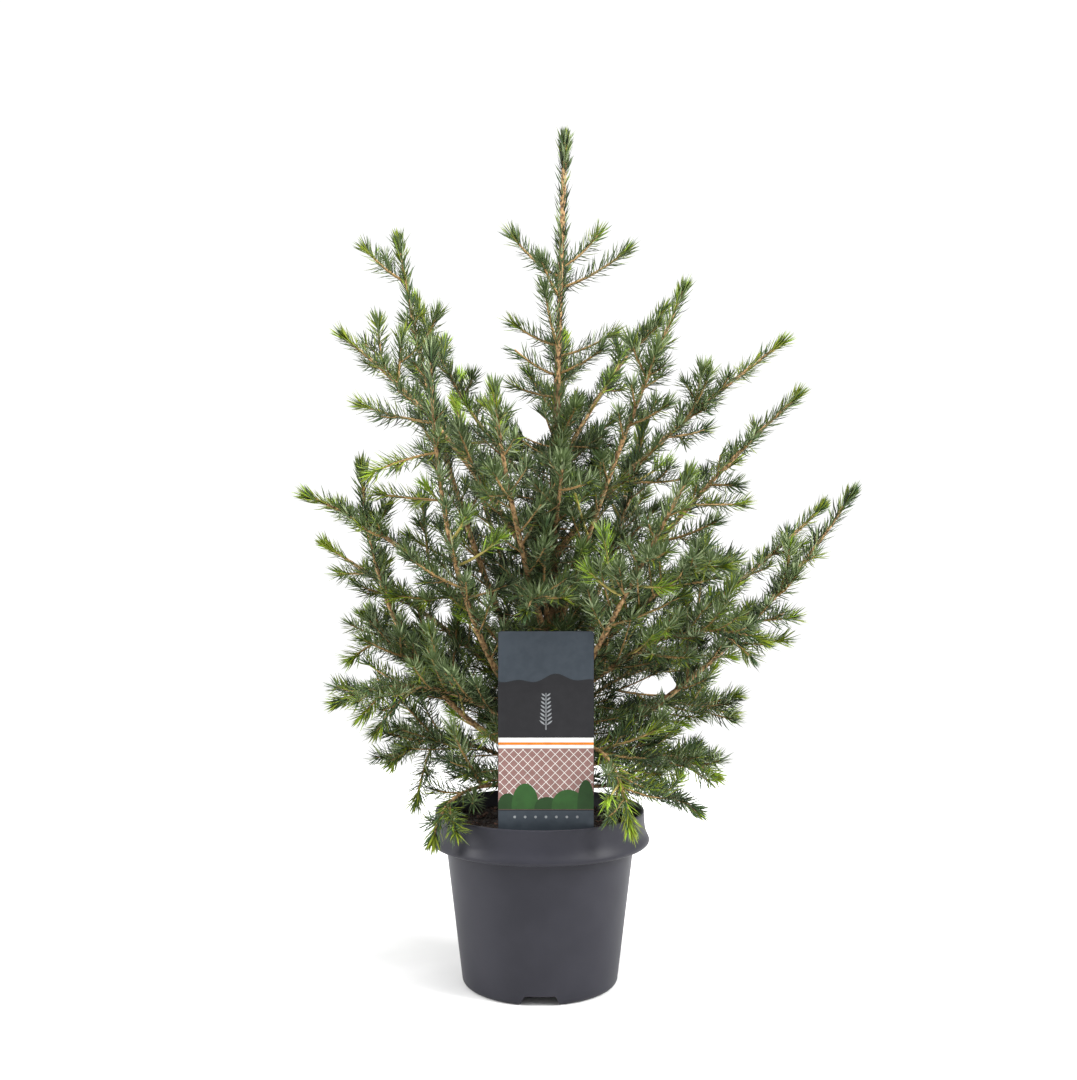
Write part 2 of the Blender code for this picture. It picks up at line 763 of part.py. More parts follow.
def trunk_points():
    heights = [SOIL_TOP + SEAT_GAP, SOIL_TOP + 0.008, SOIL_TOP + FLARE_HEIGHT]
    rise = (TRUNK_TOP - heights[-1]) / 9
    heights += [heights[-1] + rise * (index + 1) for index in range(9)]
    return [trunk_axis(height) for height in heights]


def trunk_solid(name, grow, material=None):
    """The trunk from its flat cut to its tip, or a fatter one that cuts what meets it."""
    points = trunk_points()
    if grow > 0.0:
        points[0] = points[0] - Vector((0.0, 0.0, 0.004))
        points[-1] = points[-1] + Vector((0.0, 0.0, 0.001))
    bm = bmesh.new()
    rings = []
    stretch = 1.0 / math.cos(math.pi / TRUNK_SIDES)
    for point in points:
        radius = trunk_radius(max(point.z, SOIL_TOP)) + grow * stretch
        ring = []
        for corner in range(TRUNK_SIDES):
            angle = math.tau * corner / TRUNK_SIDES
            ring.append(bm.verts.new(point + Vector((math.cos(angle), math.sin(angle), 0.0)) * radius))
        rings.append(ring)
    for lower, upper in zip(rings, rings[1:]):
        for corner in range(TRUNK_SIDES):
            after = (corner + 1) % TRUNK_SIDES
            bm.faces.new([lower[corner], lower[after], upper[after], upper[corner]])
    bm.faces.new(rings[0])
    bm.faces.new(rings[-1])
    return new_object(name, bm, material)


def make_limb(name, path, trunk_sleeve, material):
    """The bare part of a bough: one tapering limb from the trunk to where its mass begins."""
    points, _ = split_path(cut_path(path, 0.0, LIMB_SHARE), LIMB_STEP)
    end_radius = LIMB_RADIUS + (STEM_TIP_RADIUS - LIMB_RADIUS) * LIMB_SHARE
    radii = [LIMB_RADIUS + (end_radius - LIMB_RADIUS) * index / (len(points) - 1)
             for index in range(len(points))]
    limb = ring_solid(name, points, radii, LIMB_SIDES)
    apply_boolean(limb, "DIFFERENCE", other=trunk_sleeve)
    keep_largest_body(limb)
    limb.data.materials.clear()
    limb.data.materials.append(material)
    limb.data.shade_smooth()
    return limb


def ring_sleeve(name, foot, top, room):
    """The needle-bearing bark of the leader between two heights, as a tube round it."""
    points, _ = split_path(lambda share: trunk_axis(foot + (top - foot) * share), RING_STEP)
    radii = [trunk_radius(point.z) + RING_WALL + SEAT_GAP for point in points]
    return ring_solid(name, points, radii, RING_SIDES, RING_TWIST, room)


def build():
    clear_scene()
    plastic = new_material("pot_plastic", (0.065, 0.067, 0.075), 0.45)
    earth = new_material("potting_soil", (0.030, 0.018, 0.012), 0.95)
    card = new_material("label_card", (0.045, 0.050, 0.058), 0.35)
    bark = new_material("spruce_bark", (0.210, 0.120, 0.065), 0.85)
    needles = new_material("spruce_needles", (0.070, 0.150, 0.060), 0.60)

    make_pot(plastic)
    make_soil(earth)
    make_label(card)
    trunk_solid("trunk", 0.0, bark)
    trunk_sleeve = trunk_solid("trunk_sleeve", SEAT_GAP)
    trunk_sleeve.display_type = "WIRE"
    trunk_sleeve.hide_render = True

    # Main stems first, so that each side shoot knows all of them
    paths = {}
    masses = {}
    placed = {}
    for name, row in LIMBED_BOUGHS.items():
        path = bough_path(row)
        paths[name] = path
        limb_points, length = split_path(cut_path(path, 0.0, LIMB_SHARE), LIMB_STEP)
        placed[f"bough_{name}"] = samples(limb_points)
        gap_share = SEAT_GAP / length * LIMB_SHARE
        points, _ = split_path(cut_path(path, LIMB_SHARE + gap_share, 1.0), POINT_STEP)
        start_radius = LIMB_RADIUS + (STEM_TIP_RADIUS - LIMB_RADIUS) * LIMB_SHARE
        masses[f"foliage_{name}"] = [Stem(points, start_radius, STEM_TIP_RADIUS, NEEDLE_LENGTH)]
    for name, row in TRUNK_BOUGHS.items():
        path = bough_path(row)
        paths[name] = path
        points, length = split_path(path, POINT_STEP)
        masses[f"foliage_{name}"] = [Stem(points, TWIG_RADIUS * 1.5, STEM_TIP_RADIUS, BARE_SHARE * length)]
    for name, (foot, top, twigs) in LEADER_RINGS.items():
        masses[f"foliage_{name}"] = [pointed_stem(trunk_axis(root_height), *rest)
                                     for root_height, *rest in twigs]
        placed[f"foliage_{name}"] = samples([trunk_axis(foot), trunk_axis(top)])
    for name, stems in masses.items():
        placed.setdefault(name, [])
        for stem in stems:
            placed[name] += samples(stem.points)

    for name, rows in STANDING_SHOOTS.items():
        mass_name = f"foliage_{name}"
        masses[mass_name] += grow_standing_shoots(mass_name, paths[name], rows, placed)
    for name, row in {**LIMBED_BOUGHS, **TRUNK_BOUGHS}.items():
        mass_name = f"foliage_{name}"
        path = paths[name]
        _, length = split_path(path, POINT_STEP)
        first = (LIMB_SHARE if name in LIMBED_BOUGHS else BARE_SHARE) + LATERAL_START
        standing = len(STANDING_SHOOTS.get(name, []))
        count = max(1, int(length * (1.0 - first) / LATERAL_SPACING) - standing)
        masses[mass_name] += grow_laterals(mass_name, row[-1], path, count, first, placed)

    # Then the solids
    for name in LIMBED_BOUGHS:
        make_limb(f"bough_{name}", paths[name], trunk_sleeve, bark)
    for name, stems in masses.items():
        others = [point for owner, points in placed.items() if owner != name for point in points]
        room = Room(placed[name], others)
        short = name.removeprefix("foliage_")
        if short in LEADER_RINGS:
            foot, top, _ = LEADER_RINGS[short]
            fuse_mass(name, stems, room, trunk_sleeve, needles, ring_sleeve(f"{name}_core", foot, top, room))
        elif short in TRUNK_BOUGHS:
            fuse_mass(name, stems, room, trunk_sleeve, needles)
        else:
            fuse_mass(name, stems, room, None, needles)


build()
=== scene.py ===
# A young Serbian spruce in its nursery pot, dressed for a studio picture.
# Metres, +Z up; the origin is under the middle of the pot and -Y is the front.

import math
import random

import bmesh
import bpy
import numpy as np
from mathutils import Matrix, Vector, noise
from mathutils.kdtree import KDTree


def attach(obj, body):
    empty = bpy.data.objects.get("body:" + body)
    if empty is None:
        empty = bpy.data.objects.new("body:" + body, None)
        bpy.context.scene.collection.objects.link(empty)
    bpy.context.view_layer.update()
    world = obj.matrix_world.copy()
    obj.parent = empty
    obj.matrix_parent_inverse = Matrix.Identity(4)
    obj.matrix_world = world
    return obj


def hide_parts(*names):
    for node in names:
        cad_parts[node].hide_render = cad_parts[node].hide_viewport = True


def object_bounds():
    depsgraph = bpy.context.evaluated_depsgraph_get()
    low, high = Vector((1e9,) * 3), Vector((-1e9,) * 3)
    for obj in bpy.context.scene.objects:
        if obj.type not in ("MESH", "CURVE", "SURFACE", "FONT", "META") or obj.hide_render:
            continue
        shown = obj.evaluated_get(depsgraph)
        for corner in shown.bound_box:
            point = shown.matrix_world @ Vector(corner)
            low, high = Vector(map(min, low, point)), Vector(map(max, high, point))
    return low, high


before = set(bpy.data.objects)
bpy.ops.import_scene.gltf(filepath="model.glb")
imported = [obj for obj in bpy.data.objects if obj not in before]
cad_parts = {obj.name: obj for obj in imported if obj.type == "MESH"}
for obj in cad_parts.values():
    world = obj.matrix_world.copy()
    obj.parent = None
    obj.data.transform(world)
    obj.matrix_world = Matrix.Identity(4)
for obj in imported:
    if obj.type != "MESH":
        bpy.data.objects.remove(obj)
cadLow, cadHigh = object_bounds()
mm = 0.001
upward = Vector((0.0, 0.0, 1.0))


# small helpers

def hexToLinear(code):
    parts = [int(code[start:start + 2], 16) / 255.0 for start in (1, 3, 5)]
    linear = [part / 12.92 if part <= 0.04045 else ((part + 0.055) / 1.055) ** 2.4 for part in parts]
    return (*linear, 1.0)


def addNode(tree, kind, settings=None, links=None):
    node = tree.nodes.new(kind)
    for name, value in (settings or {}).items():
        if name in node.inputs:
            node.inputs[name].default_value = value
        else:
            setattr(node, name, value)
    for name, source in (links or {}).items():
        tree.links.new(source, node.inputs[name])
    return node


def startMaterial(name, colourHex, roughness, ior=1.5, **sockets):
    material = bpy.data.materials.new(name)
    material.use_nodes = True
    tree = material.node_tree
    shader = tree.nodes["Principled BSDF"]
    shader.inputs["Base Color"].default_value = hexToLinear(colourHex)
    shader.inputs["Roughness"].default_value = roughness
    shader.inputs["IOR"].default_value = ior
    for socket, value in sockets.items():
        shader.inputs[socket.replace("_", " ")].default_value = value
    return material, tree, shader


def mottle(tree, shader, sizeMm, darkHex, lightHex, low=0.35, high=0.65, detail=3.0):
    # two colours mixed by a noise whose patches are about sizeMm across
    coordinates = addNode(tree, "ShaderNodeTexCoord")
    cloud = addNode(tree, "ShaderNodeTexNoise", {"Scale": 1.0 / (sizeMm * mm), "Detail": detail},
                    {"Vector": coordinates.outputs["Object"]})
    ramp = addNode(tree, "ShaderNodeValToRGB", {}, {"Fac": cloud.outputs["Fac"]})
    ramp.color_ramp.elements[0].position = low
    ramp.color_ramp.elements[0].color = hexToLinear(darkHex)
    ramp.color_ramp.elements[1].position = high
    ramp.color_ramp.elements[1].color = hexToLinear(lightHex)
    tree.links.new(ramp.outputs["Color"], shader.inputs["Base Color"])
    return coordinates


def roughen(tree, shader, coordinates, sizeMm, depthMm, detail=2.0):
    # a grain of about sizeMm, raised by depthMm
    grain = addNode(tree, "ShaderNodeTexNoise", {"Scale": 1.0 / (sizeMm * mm), "Detail": detail},
                    {"Vector": coordinates.outputs["Object"]})
    bump = addNode(tree, "ShaderNodeBump", {"Distance": depthMm * mm, "Strength": 1.0},
                   {"Height": grain.outputs["Fac"]})
    tree.links.new(bump.outputs["Normal"], shader.inputs["Normal"])


def newPiece(name, mesh, materials):
    piece = bpy.data.objects.new(name, mesh)
    bpy.context.scene.collection.objects.link(piece)
    for material in materials:
        mesh.materials.append(material)
    return piece


def meshFromArrays(name, points, faces, materialIndex=None):
    mesh = bpy.data.meshes.new(name)
    mesh.from_pydata(points.tolist(), [], faces.tolist())
    if materialIndex is not None:
        mesh.polygons.foreach_set("material_index", materialIndex.astype(np.int32))
    mesh.update()
    return mesh


def meshFromBmesh(name, bm):
    mesh = bpy.data.meshes.new(name)
    bm.to_mesh(mesh)
    bm.free()
    return mesh


def addPrism(bm, near, far):
    # two outlines of equal count, closed at both ends and walled between them
    made = [bm.faces.new(near), bm.faces.new(far)]
    for index in range(len(near)):
        after = (index + 1) % len(near)
        made.append(bm.faces.new([near[index], near[after], far[after], far[index]]))
    return made


def smoothStep(value, start, end):
    share = min(max((value - start) / (end - start), 0.0), 1.0)
    return share * share * (3.0 - 2.0 * share)


# camera, floor and lights

studio = {
    "cameraPlace": (-0.0013, -1.15, 0.3838),
    "lensMm": 43.93,
    "floorSize": 2.2,
    "worldStrength": 1.06,
    # place, aim, width, height, power in watts
    "lights": {
        "keyLight": ((1.95, -0.85, 1.4), (0.0, 0.0, 0.30), 0.9, 1.4, 112.0),
        "sideLight": ((-2.0, -0.40, 1.0), (0.0, 0.0, 0.30), 0.8, 1.4, 62.0),
        "topLight": ((0.2, -0.5, 2.3), (0.0, 0.0, 0.35), 1.2, 1.2, 70.0),
    },
}


def makeStudio():
    scene = bpy.context.scene
    scene.view_settings.view_transform = "Standard"
    lens = bpy.data.cameras.new("studioCamera")
    lens.lens = studio["lensMm"]
    lens.sensor_width = 36.0
    lens.clip_start = 0.05
    camera = bpy.data.objects.new("studioCamera", lens)
    camera.location = studio["cameraPlace"]
    camera.rotation_euler = (math.radians(90.0), 0.0, 0.0)
    scene.collection.objects.link(camera)
    scene.camera = camera

    world = bpy.data.worlds.new("studioWorld")
    world.use_nodes = True
    background = world.node_tree.nodes["Background"]
    background.inputs["Color"].default_value = (1.0, 1.0, 1.0, 1.0)
    background.inputs["Strength"].default_value = studio["worldStrength"]
    scene.world = world

    for name, (place, aim, width, height, power) in studio["lights"].items():
        lamp = bpy.data.lights.new(name, "AREA")
        lamp.shape = "RECTANGLE"
        lamp.size = width
        lamp.size_y = height
        lamp.energy = power
        holder = bpy.data.objects.new(name, lamp)
        holder.location = place
        holder.rotation_euler = (Vector(place) - Vector(aim)).to_track_quat("Z", "Y").to_euler()
        scene.collection.objects.link(holder)

    # painted studio floor, matt pale grey, with a faint roller texture
    paint, tree, shader = startMaterial("mattFloorPaint", "#d6d6d6", 0.9)
    coordinates = mottle(tree, shader, 60.0, "#d4d4d4", "#d8d8d8")
    roughen(tree, shader, coordinates, 2.0, 0.05)
    half = studio["floorSize"] / 2
    bm = bmesh.new()
    bm.faces.new([bm.verts.new((x, y, 0.0)) for x, y in
                  ((-half, -half), (half, -half), (half, half), (-half, half))])
    mesh = meshFromBmesh("floor", bm)
    floor = bpy.data.objects.new("floor", mesh)
    mesh.materials.append(paint)
    scene.collection.objects.link(floor)
    print("studio ready")


# the pot

pot = {
    "height": 0.1500,
    "footRadius": 0.0670,
    "waistRadius": 0.0803,
    "waistHeight": 0.1090,
    "footRounding": 0.0055,
    "wall": 0.0018,
    "lipRadius": 0.0951,
    "lipWidest": 0.1258,
    "lipUnderside": 0.1212,
    "lipCorner": 0.0034,
    "lipDraw": 0.0046,
    "lipDrawRate": 3.6,
    "mouthRadius": 0.0885,
    "mouthRounding": 0.0009,
    "steps": 192,
    "channelHeight": 0.0085,
    "channelTopWidth": 0.0250,
    "channelFootWidth": 0.0380,
    "channelInnerEnd": 0.0260,
    "channelRounding": 0.0030,
    "channelBearings": (-90.0, 30.0, 150.0),
    # raised band on the lip: from bearing, to bearing, lower edge at each end, how proud
    "bandBearings": (-248.0, -112.0),
    "bandFoot": (0.1240, 0.1350),
    "bandProud": 0.0005,
}


def wallRadius(height):
    share = height / pot["waistHeight"]
    return pot["footRadius"] + (pot["waistRadius"] - pot["footRadius"]) * share


def arcPoints(radius, height, size, start, end, count):
    # points round a rounding whose middle is at that radius and height
    points = []
    for step in range(count + 1):
        angle = math.radians(start + (end - start) * step / count)
        points.append((radius + size * math.cos(angle), height + size * math.sin(angle)))
    return points


def potOutline():
    foot = pot["footRounding"]
    lip = pot["lipRadius"]
    widest = pot["lipWidest"]
    under = pot["lipUnderside"]
    top = pot["height"]
    outline = [(0.0, 0.0)]
    outline += arcPoints(wallRadius(foot) - foot, foot, foot, -90.0, 0.0, 8)
    for height in (0.012, 0.03, 0.05, 0.07, 0.09, 0.108, 0.115):
        outline.append((wallRadius(height), height))
    # small fillet under the lip, then the rolled edge
    neck = wallRadius(under - 0.0016)
    outline += [(neck, under - 0.0016), (neck + 0.0004, under - 0.0007), (neck + 0.0014, under - 0.0002)]
    corner = pot["lipCorner"]
    outline += arcPoints(lip - corner, under + corner, corner, -88.0, 5.0, 9)
    # the lip draws in and stands up again towards its top
    for step in range(1, 15):
        share = step / 15
        height = widest + (top - 0.0010 - widest) * share
        rate = pot["lipDrawRate"]
        draw = pot["lipDraw"] * (1.0 - math.exp(-rate * share)) / (1.0 - math.exp(-rate))
        outline.append((lip - draw, height))
    edge = pot["mouthRounding"]
    outline += arcPoints(lip - pot["lipDraw"] - edge, top - edge, edge, 10.0, 90.0, 5)
    outline.append((0.0, top))
    return outline


def turnedMesh(outline, steps, shift=None):
    bm = bmesh.new()
    rings = []
    for radius, height in outline:
        if radius == 0.0:
            rings.append([bm.verts.new((0.0, 0.0, height))])
            continue
        ring = []
        for step in range(steps):
            angle = math.tau * step / steps
            out = radius + (shift(math.degrees(angle), height) if shift else 0.0)
            ring.append(bm.verts.new((out * math.cos(angle), out * math.sin(angle), height)))
        rings.append(ring)
    for lower, upper in zip(rings, rings[1:]):
        for step in range(steps):
            after = (step + 1) % steps
            corners = [lower[step % len(lower)], lower[after % len(lower)],
                       upper[after % len(upper)], upper[step % len(upper)]]
            bm.faces.new(list(dict.fromkeys(corners)))
    bmesh.ops.recalc_face_normals(bm, faces=bm.faces[:])
    return bm


def bandShift(bearing, height):
    # the raised band, with soft edges and a foot that rises towards the front
    first, last = pot["bandBearings"]
    angle = bearing - 360.0 if bearing > 100.0 else bearing
    if not first - 4.0 < angle < last + 4.0 or height < pot["lipUnderside"] + 0.0015:
        return 0.0
    share = (angle - first) / (last - first)
    foot = pot["bandFoot"][0] + (pot["bandFoot"][1] - pot["bandFoot"][0]) * max(share, 0.0) ** 2
    corner = 0.006 * smoothStep(angle, last - 7.0, last + 1.0)
    raised = smoothStep(height, foot + corner - 0.0006, foot + corner + 0.0010)
    ends = smoothStep(angle, first - 1.0, first + 1.5) * (1.0 - smoothStep(angle, last - 0.8, last + 0.8))
    return pot["bandProud"] * raised * ends


def channelBar(bearing, grow):
    # a drainage channel's bar, with rounded shoulders
    top = pot["channelHeight"] + grow
    halfTop = pot["channelTopWidth"] / 2 + grow
    halfFoot = pot["channelFootWidth"] / 2 + grow
    flare = pot["channelRounding"]
    side = [(halfTop - 0.0012, top)]
    side += [(halfTop - 0.0012 + 0.0024 * math.sin(math.radians(angle)),
              top - 0.0024 + 0.0024 * math.cos(math.radians(angle))) for angle in (30, 55)]
    side += [(halfFoot - 0.0035, 0.0028)]
    for step in range(1, 6):
        angle = math.radians(90.0 * step / 5)
        side.append((halfFoot - 0.0035 + (0.0035 + flare) * (1.0 - math.cos(angle)) * 0.6,
                     0.0028 - 0.0028 * math.sin(angle)))
    side.append((halfFoot + flare, -0.010))
    section = [(-across, height) for across, height in reversed(side)] + side
    bm = bmesh.new()
    turn = math.radians(bearing)
    ends = []
    for along in (pot["channelInnerEnd"] - grow, pot["lipRadius"]):
        ends.append([bm.verts.new((along * math.cos(turn) - across * math.sin(turn),
                                   along * math.sin(turn) + across * math.cos(turn), height))
                     for across, height in section])
    addPrism(bm, *ends)
    bmesh.ops.recalc_face_normals(bm, faces=bm.faces[:])
    return bm


def helperObject(name, bm):
    helper = bpy.data.objects.new(name, meshFromBmesh(name, bm))
    bpy.context.scene.collection.objects.link(helper)
    return helper


def cutAway(target, cutters):
    for cutter in cutters:
        cut = target.modifiers.new("cut", "BOOLEAN")
        cut.operation = "DIFFERENCE"
        cut.solver = "MANIFOLD"
        cut.object = cutter
    depsgraph = bpy.context.evaluated_depsgraph_get()
    result = bpy.data.meshes.new_from_object(target.evaluated_get(depsgraph))
    target.modifiers.clear()
    target.data = result
    for cutter in cutters:
        bpy.data.objects.remove(cutter, do_unlink=True)


def makePot():
    # polypropylene, injection moulded in a spark-eroded mould: satin, with a fine even grain
    plastic, tree, shader = startMaterial("mouldedPolypropylene", "#212127", 0.46, 1.49,
                                           Specular_IOR_Level=0.16)
    coordinates = mottle(tree, shader, 35.0, "#202026", "#24242a")
    roughen(tree, shader, coordinates, 0.5, 0.012)

    body = helperObject("potBlank", turnedMesh(potOutline(), pot["steps"], bandShift))
    cutAway(body, [helperObject("channel", channelBar(bearing, 0.0))
                   for bearing in pot["channelBearings"]])
    floor = pot["wall"]
    shoulder = pot["lipUnderside"]
    inside = [
        (0.0, floor),
        (wallRadius(floor) - pot["wall"] - 0.0030, floor),
        (wallRadius(0.0048) - pot["wall"], floor + 0.0030),
        (wallRadius(shoulder) - pot["wall"], shoulder + 0.0012),
        (pot["mouthRadius"] - 0.0004, shoulder + 0.0056),
        (pot["mouthRadius"], shoulder + 0.0066),
        (pot["mouthRadius"], pot["height"] - 0.0006),
        (pot["mouthRadius"] + 0.0004, pot["height"] - 0.0001),
        (pot["mouthRadius"] + 0.0012, pot["height"] + 0.0050),
        (0.0, pot["height"] + 0.0050),
    ]
    space = helperObject("potSpace", turnedMesh(inside, pot["steps"]))
    cutAway(space, [helperObject("rib", channelBar(bearing, pot["wall"]))
                    for bearing in pot["channelBearings"]])
    cutAway(body, [space])
    mesh = body.data
    bpy.data.objects.remove(body, do_unlink=True)
    mesh.materials.clear()
    piece = newPiece("nurseryPot", mesh, [plastic])
    mesh.shade_smooth()
    mesh.set_sharp_from_angle(angle=math.radians(32.0))
    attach(piece, "root")
    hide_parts("pot")
    print("pot ready,", len(mesh.polygons), "faces")


# soil

soil = {
    "top": 0.1355,
    "radius": 0.0881,
    "hump": 0.0030,
    "rings": 46,
    "steps": 150,
    "skirt": 0.0015,
    "crumbs": 2600,
    "crumbSizes": (0.0006, 0.0024),
    "chips": 300,
    "chipSizes": (0.0020, 0.0055),
    "seed": 11,
}


def makeLumps(count, sizes, flatness, rng):
    # angular lumps: eight-cornered blocks with every corner pushed about
    cube = np.array([(x, y, z) for x in (-1, 1) for y in (-1, 1) for z in (-1, 1)], float)
    quads = ((0, 1, 3, 2), (4, 6, 7, 5), (0, 4, 5, 1), (2, 3, 7, 6), (0, 2, 6, 4), (1, 5, 7, 3))
    triangles = np.array([tri for a, b, c, d in quads for tri in ((a, b, c), (a, c, d))])
    points = []
    faces = []
    for index in range(count):
        size = rng.uniform(*sizes)
        corners = cube * 0.5 * rng.uniform(0.55, 1.0, (8, 3))
        corners *= np.array((1.0, rng.uniform(0.4, 0.9), flatness * rng.uniform(0.6, 1.2))) * size
        turn = rng.uniform(0.0, math.tau)
        tip = rng.uniform(-0.6, 0.6)
        spin = np.array([[math.cos(turn), -math.sin(turn), 0],
                         [math.sin(turn), math.cos(turn), 0],
                         [0, 0, 1]])
        tilt = np.array([[math.cos(tip), 0, math.sin(tip)],
                         [0, 1, 0],
                         [-math.sin(tip), 0, math.cos(tip)]])
        radius = (soil["radius"] - size) * math.sqrt(rng.uniform(0.0, 1.0))
        bearing = rng.uniform(0.0, math.tau)
        place = np.array((radius * math.cos(bearing), radius * math.sin(bearing), 0.0))
        place[2] = soilHeight(place[0], place[1]) + size * 0.12
        points.append(corners @ (spin @ tilt).T + place)
        faces.append(triangles + 8 * index)
    return np.concatenate(points), np.concatenate(faces)


def soilHeight(x, y):
    cloud = noise.fractal(Vector((x, y, 0.3)) * 55.0, 0.9, 2.1, 4)
    fine = noise.noise(Vector((x, y, 0.7)) * 420.0)
    return soil["top"] + 0.0010 + soil["hump"] * 0.5 * cloud + 0.0006 * fine


def makeSoil():
    # peat and composted bark: near black when damp, matt, with fibres a few millimetres long
    peat, tree, shader = startMaterial("dampPeat", "#2a1c14", 0.95, 1.4)
    coordinates = mottle(tree, shader, 3.0, "#0e0907", "#291b13")
    roughen(tree, shader, coordinates, 0.8, 0.35)
    # chips of pine bark, milled: red brown, drier than the peat
    chip, tree, shader = startMaterial("milledBarkChips", "#5a3220", 0.85, 1.45)
    coordinates = mottle(tree, shader, 2.0, "#1f120c", "#543526")
    roughen(tree, shader, coordinates, 0.6, 0.2)

    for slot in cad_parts["soil"].material_slots:
        slot.material = peat
    rings = soil["rings"]
    steps = soil["steps"]
    skirtHeight = soil["top"] - soil["skirt"]
    points = [(0.0, 0.0, soilHeight(0.0, 0.0))]
    faces = []
    for ring in range(1, rings + 1):
        radius = soil["radius"] * ring / rings
        for step in range(steps):
            angle = math.tau * step / steps
            x = radius * math.cos(angle)
            y = radius * math.sin(angle)
            points.append((x, y, soilHeight(x, y)))
    skirt = len(points)
    for step in range(steps):
        angle = math.tau * step / steps
        points.append((soil["radius"] * math.cos(angle), soil["radius"] * math.sin(angle), skirtHeight))
    points.append((0.0, 0.0, skirtHeight))
    for step in range(steps):
        after = (step + 1) % steps
        faces.append((0, 1 + step, 1 + after))
        for ring in range(rings):
            low = 1 + ring * steps
            high = low + steps
            faces.append((low + step, high + step, high + after))
            faces.append((low + step, high + after, low + after))
        faces.append((len(points) - 1, skirt + after, skirt + step))
    points = np.array(points)
    faces = np.array(faces)
    rng = np.random.default_rng(soil["seed"])
    lumpPoints, lumpFaces = makeLumps(soil["crumbs"], soil["crumbSizes"], 0.8, rng)
    allPoints = np.concatenate([points, lumpPoints])
    allFaces = np.concatenate([faces, lumpFaces + len(points)])
    mesh = meshFromArrays("soilCrumbs", allPoints, allFaces)
    crumbs = newPiece("soilCrumbs", mesh, [peat])
    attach(crumbs, "root")
    chipPoints, chipFaces = makeLumps(soil["chips"], soil["chipSizes"], 0.3, rng)
    mesh = meshFromArrays("barkChips", chipPoints, chipFaces)
    chips = newPiece("barkChips", mesh, [chip])
    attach(chips, "root")
    print("soil ready")


# how the plant grows, by the same rule as its solids

plant = {
    "soilTop": 0.1355,
    "trunkFoot": (0.0030, 0.0000),
    "trunkTip": (0.0222, 0.0030),
    "trunkTop": 0.7450,
    "flareRadius": 0.0115,
    "flareHeight": 0.0220,
    "baseRadius": 0.0078,
    "tipRadius": 0.0011,
    "limbRadius": 0.0029,
    "limbShare": 0.25,
    "bareShare": 0.24,
    "limbStep": 0.030,
    "pointStep": 0.0120,
    "clearance": 0.0070,
    "lateralSpacing": 0.049,
    "lateralLongest": 0.070,
    "lateralShortest": 0.022,
    "lateralStart": 0.03,
    "lateralLastShare": 0.88,
    "lateralAngle": math.radians(52.0),
    "lateralRise": 0.16,
    "goldenAngle": math.radians(137.5),
}

# each bough: root height on the trunk, bearing of its tip from +X, reach and height of the
# tip, share of the reach and rise of its bend, seed of its side shoots
# all but right_long_front, front_high and the back boughs were found by a search,
# and so was every seed; they repeat the rows of the part's source
limbedBoughs = {
    "left_tall_front": (0.209, 213, 0.114, 0.542, 0.98, 0.106, 3),
    "left_tall_back": (0.231, 164, 0.139, 0.652, 0.67, 0.166, 49),
    "left_upper": (0.331, 185, 0.180, 0.559, 0.41, 0.148, 43),
    "left_upturned": (0.187, 187, 0.159, 0.445, 0.93, 0.063, 2),
    "left_outer": (0.244, 195, 0.207, 0.420, 0.51, 0.139, 66),
    "left_wide": (0.225, 160, 0.219, 0.379, 0.29, 0.066, 6),
    "front_left": (0.288, 242, 0.096, 0.505, 0.81, 0.128, 16),
    "front_right": (0.205, 309, 0.174, 0.433, 0.52, 0.119, 4),
    "right_long_front": (0.274, 332, 0.126, 0.590, 0.36, 0.148, 14),
    "right_upper": (0.366, 3, 0.203, 0.557, 0.33, 0.090, 1),
    "right_middle": (0.250, 347, 0.213, 0.503, 0.45, 0.146, 8),
    "right_wide": (0.181, 353, 0.261, 0.421, 0.62, 0.082, 58),
    "right_arching": (0.244, 18, 0.271, 0.414, 0.51, 0.053, 14),
    "back_left_tall": (0.270, 122, 0.170, 0.520, 0.60, 0.110, 14),
    "back_right_tall": (0.222, 58, 0.180, 0.500, 0.58, 0.105, 44),
    "back_middle": (0.200, 92, 0.205, 0.400, 0.60, 0.075, 11),
}
trunkBoughs = {
    "left_high": (0.419, 147, 0.152, 0.606, 0.61, 0.058, 36),
    "right_high": (0.436, 22, 0.107, 0.591, 0.38, 0.084, 44),
    "back_high": (0.400, 84, 0.110, 0.575, 0.55, 0.075, 14),
    "left_low": (0.212, 171, 0.164, 0.315, 0.67, 0.046, 26),
    "left_lowest": (0.199, 200, 0.183, 0.250, 0.52, 0.088, 66),
    "left_drooping": (0.176, 167, 0.139, 0.185, 0.73, 0.054, 28),
    "left_rim": (0.164, 218, 0.116, 0.138, 0.91, 0.034, 69),
    "front_short": (0.300, 261, 0.122, 0.328, 0.21, 0.063, 39),
    "front_high": (0.378, 275, 0.090, 0.447, 0.60, 0.034, 53),
    "front_right_low": (0.181, 305, 0.118, 0.155, 0.79, 0.071, 49),
    "front_upright": (0.318, 27, 0.096, 0.490, 0.82, 0.043, 38),
    "right_inner": (0.231, 323, 0.175, 0.363, 0.68, 0.138, 46),
    "right_low": (0.218, 343, 0.186, 0.301, 0.51, 0.114, 50),
    "right_lower": (0.194, 26, 0.195, 0.220, 0.47, 0.064, 41),
    "right_drooping": (0.170, 353, 0.147, 0.182, 0.62, 0.049, 55),
    "right_rim": (0.160, 16, 0.144, 0.139, 0.63, 0.020, 31),
    "back_left_low": (0.190, 132, 0.190, 0.290, 0.60, 0.060, 44),
    "back_right_low": (0.214, 48, 0.195, 0.262, 0.60, 0.060, 7),
    "back_drooping": (0.168, 95, 0.170, 0.196, 0.65, 0.050, 15),
}
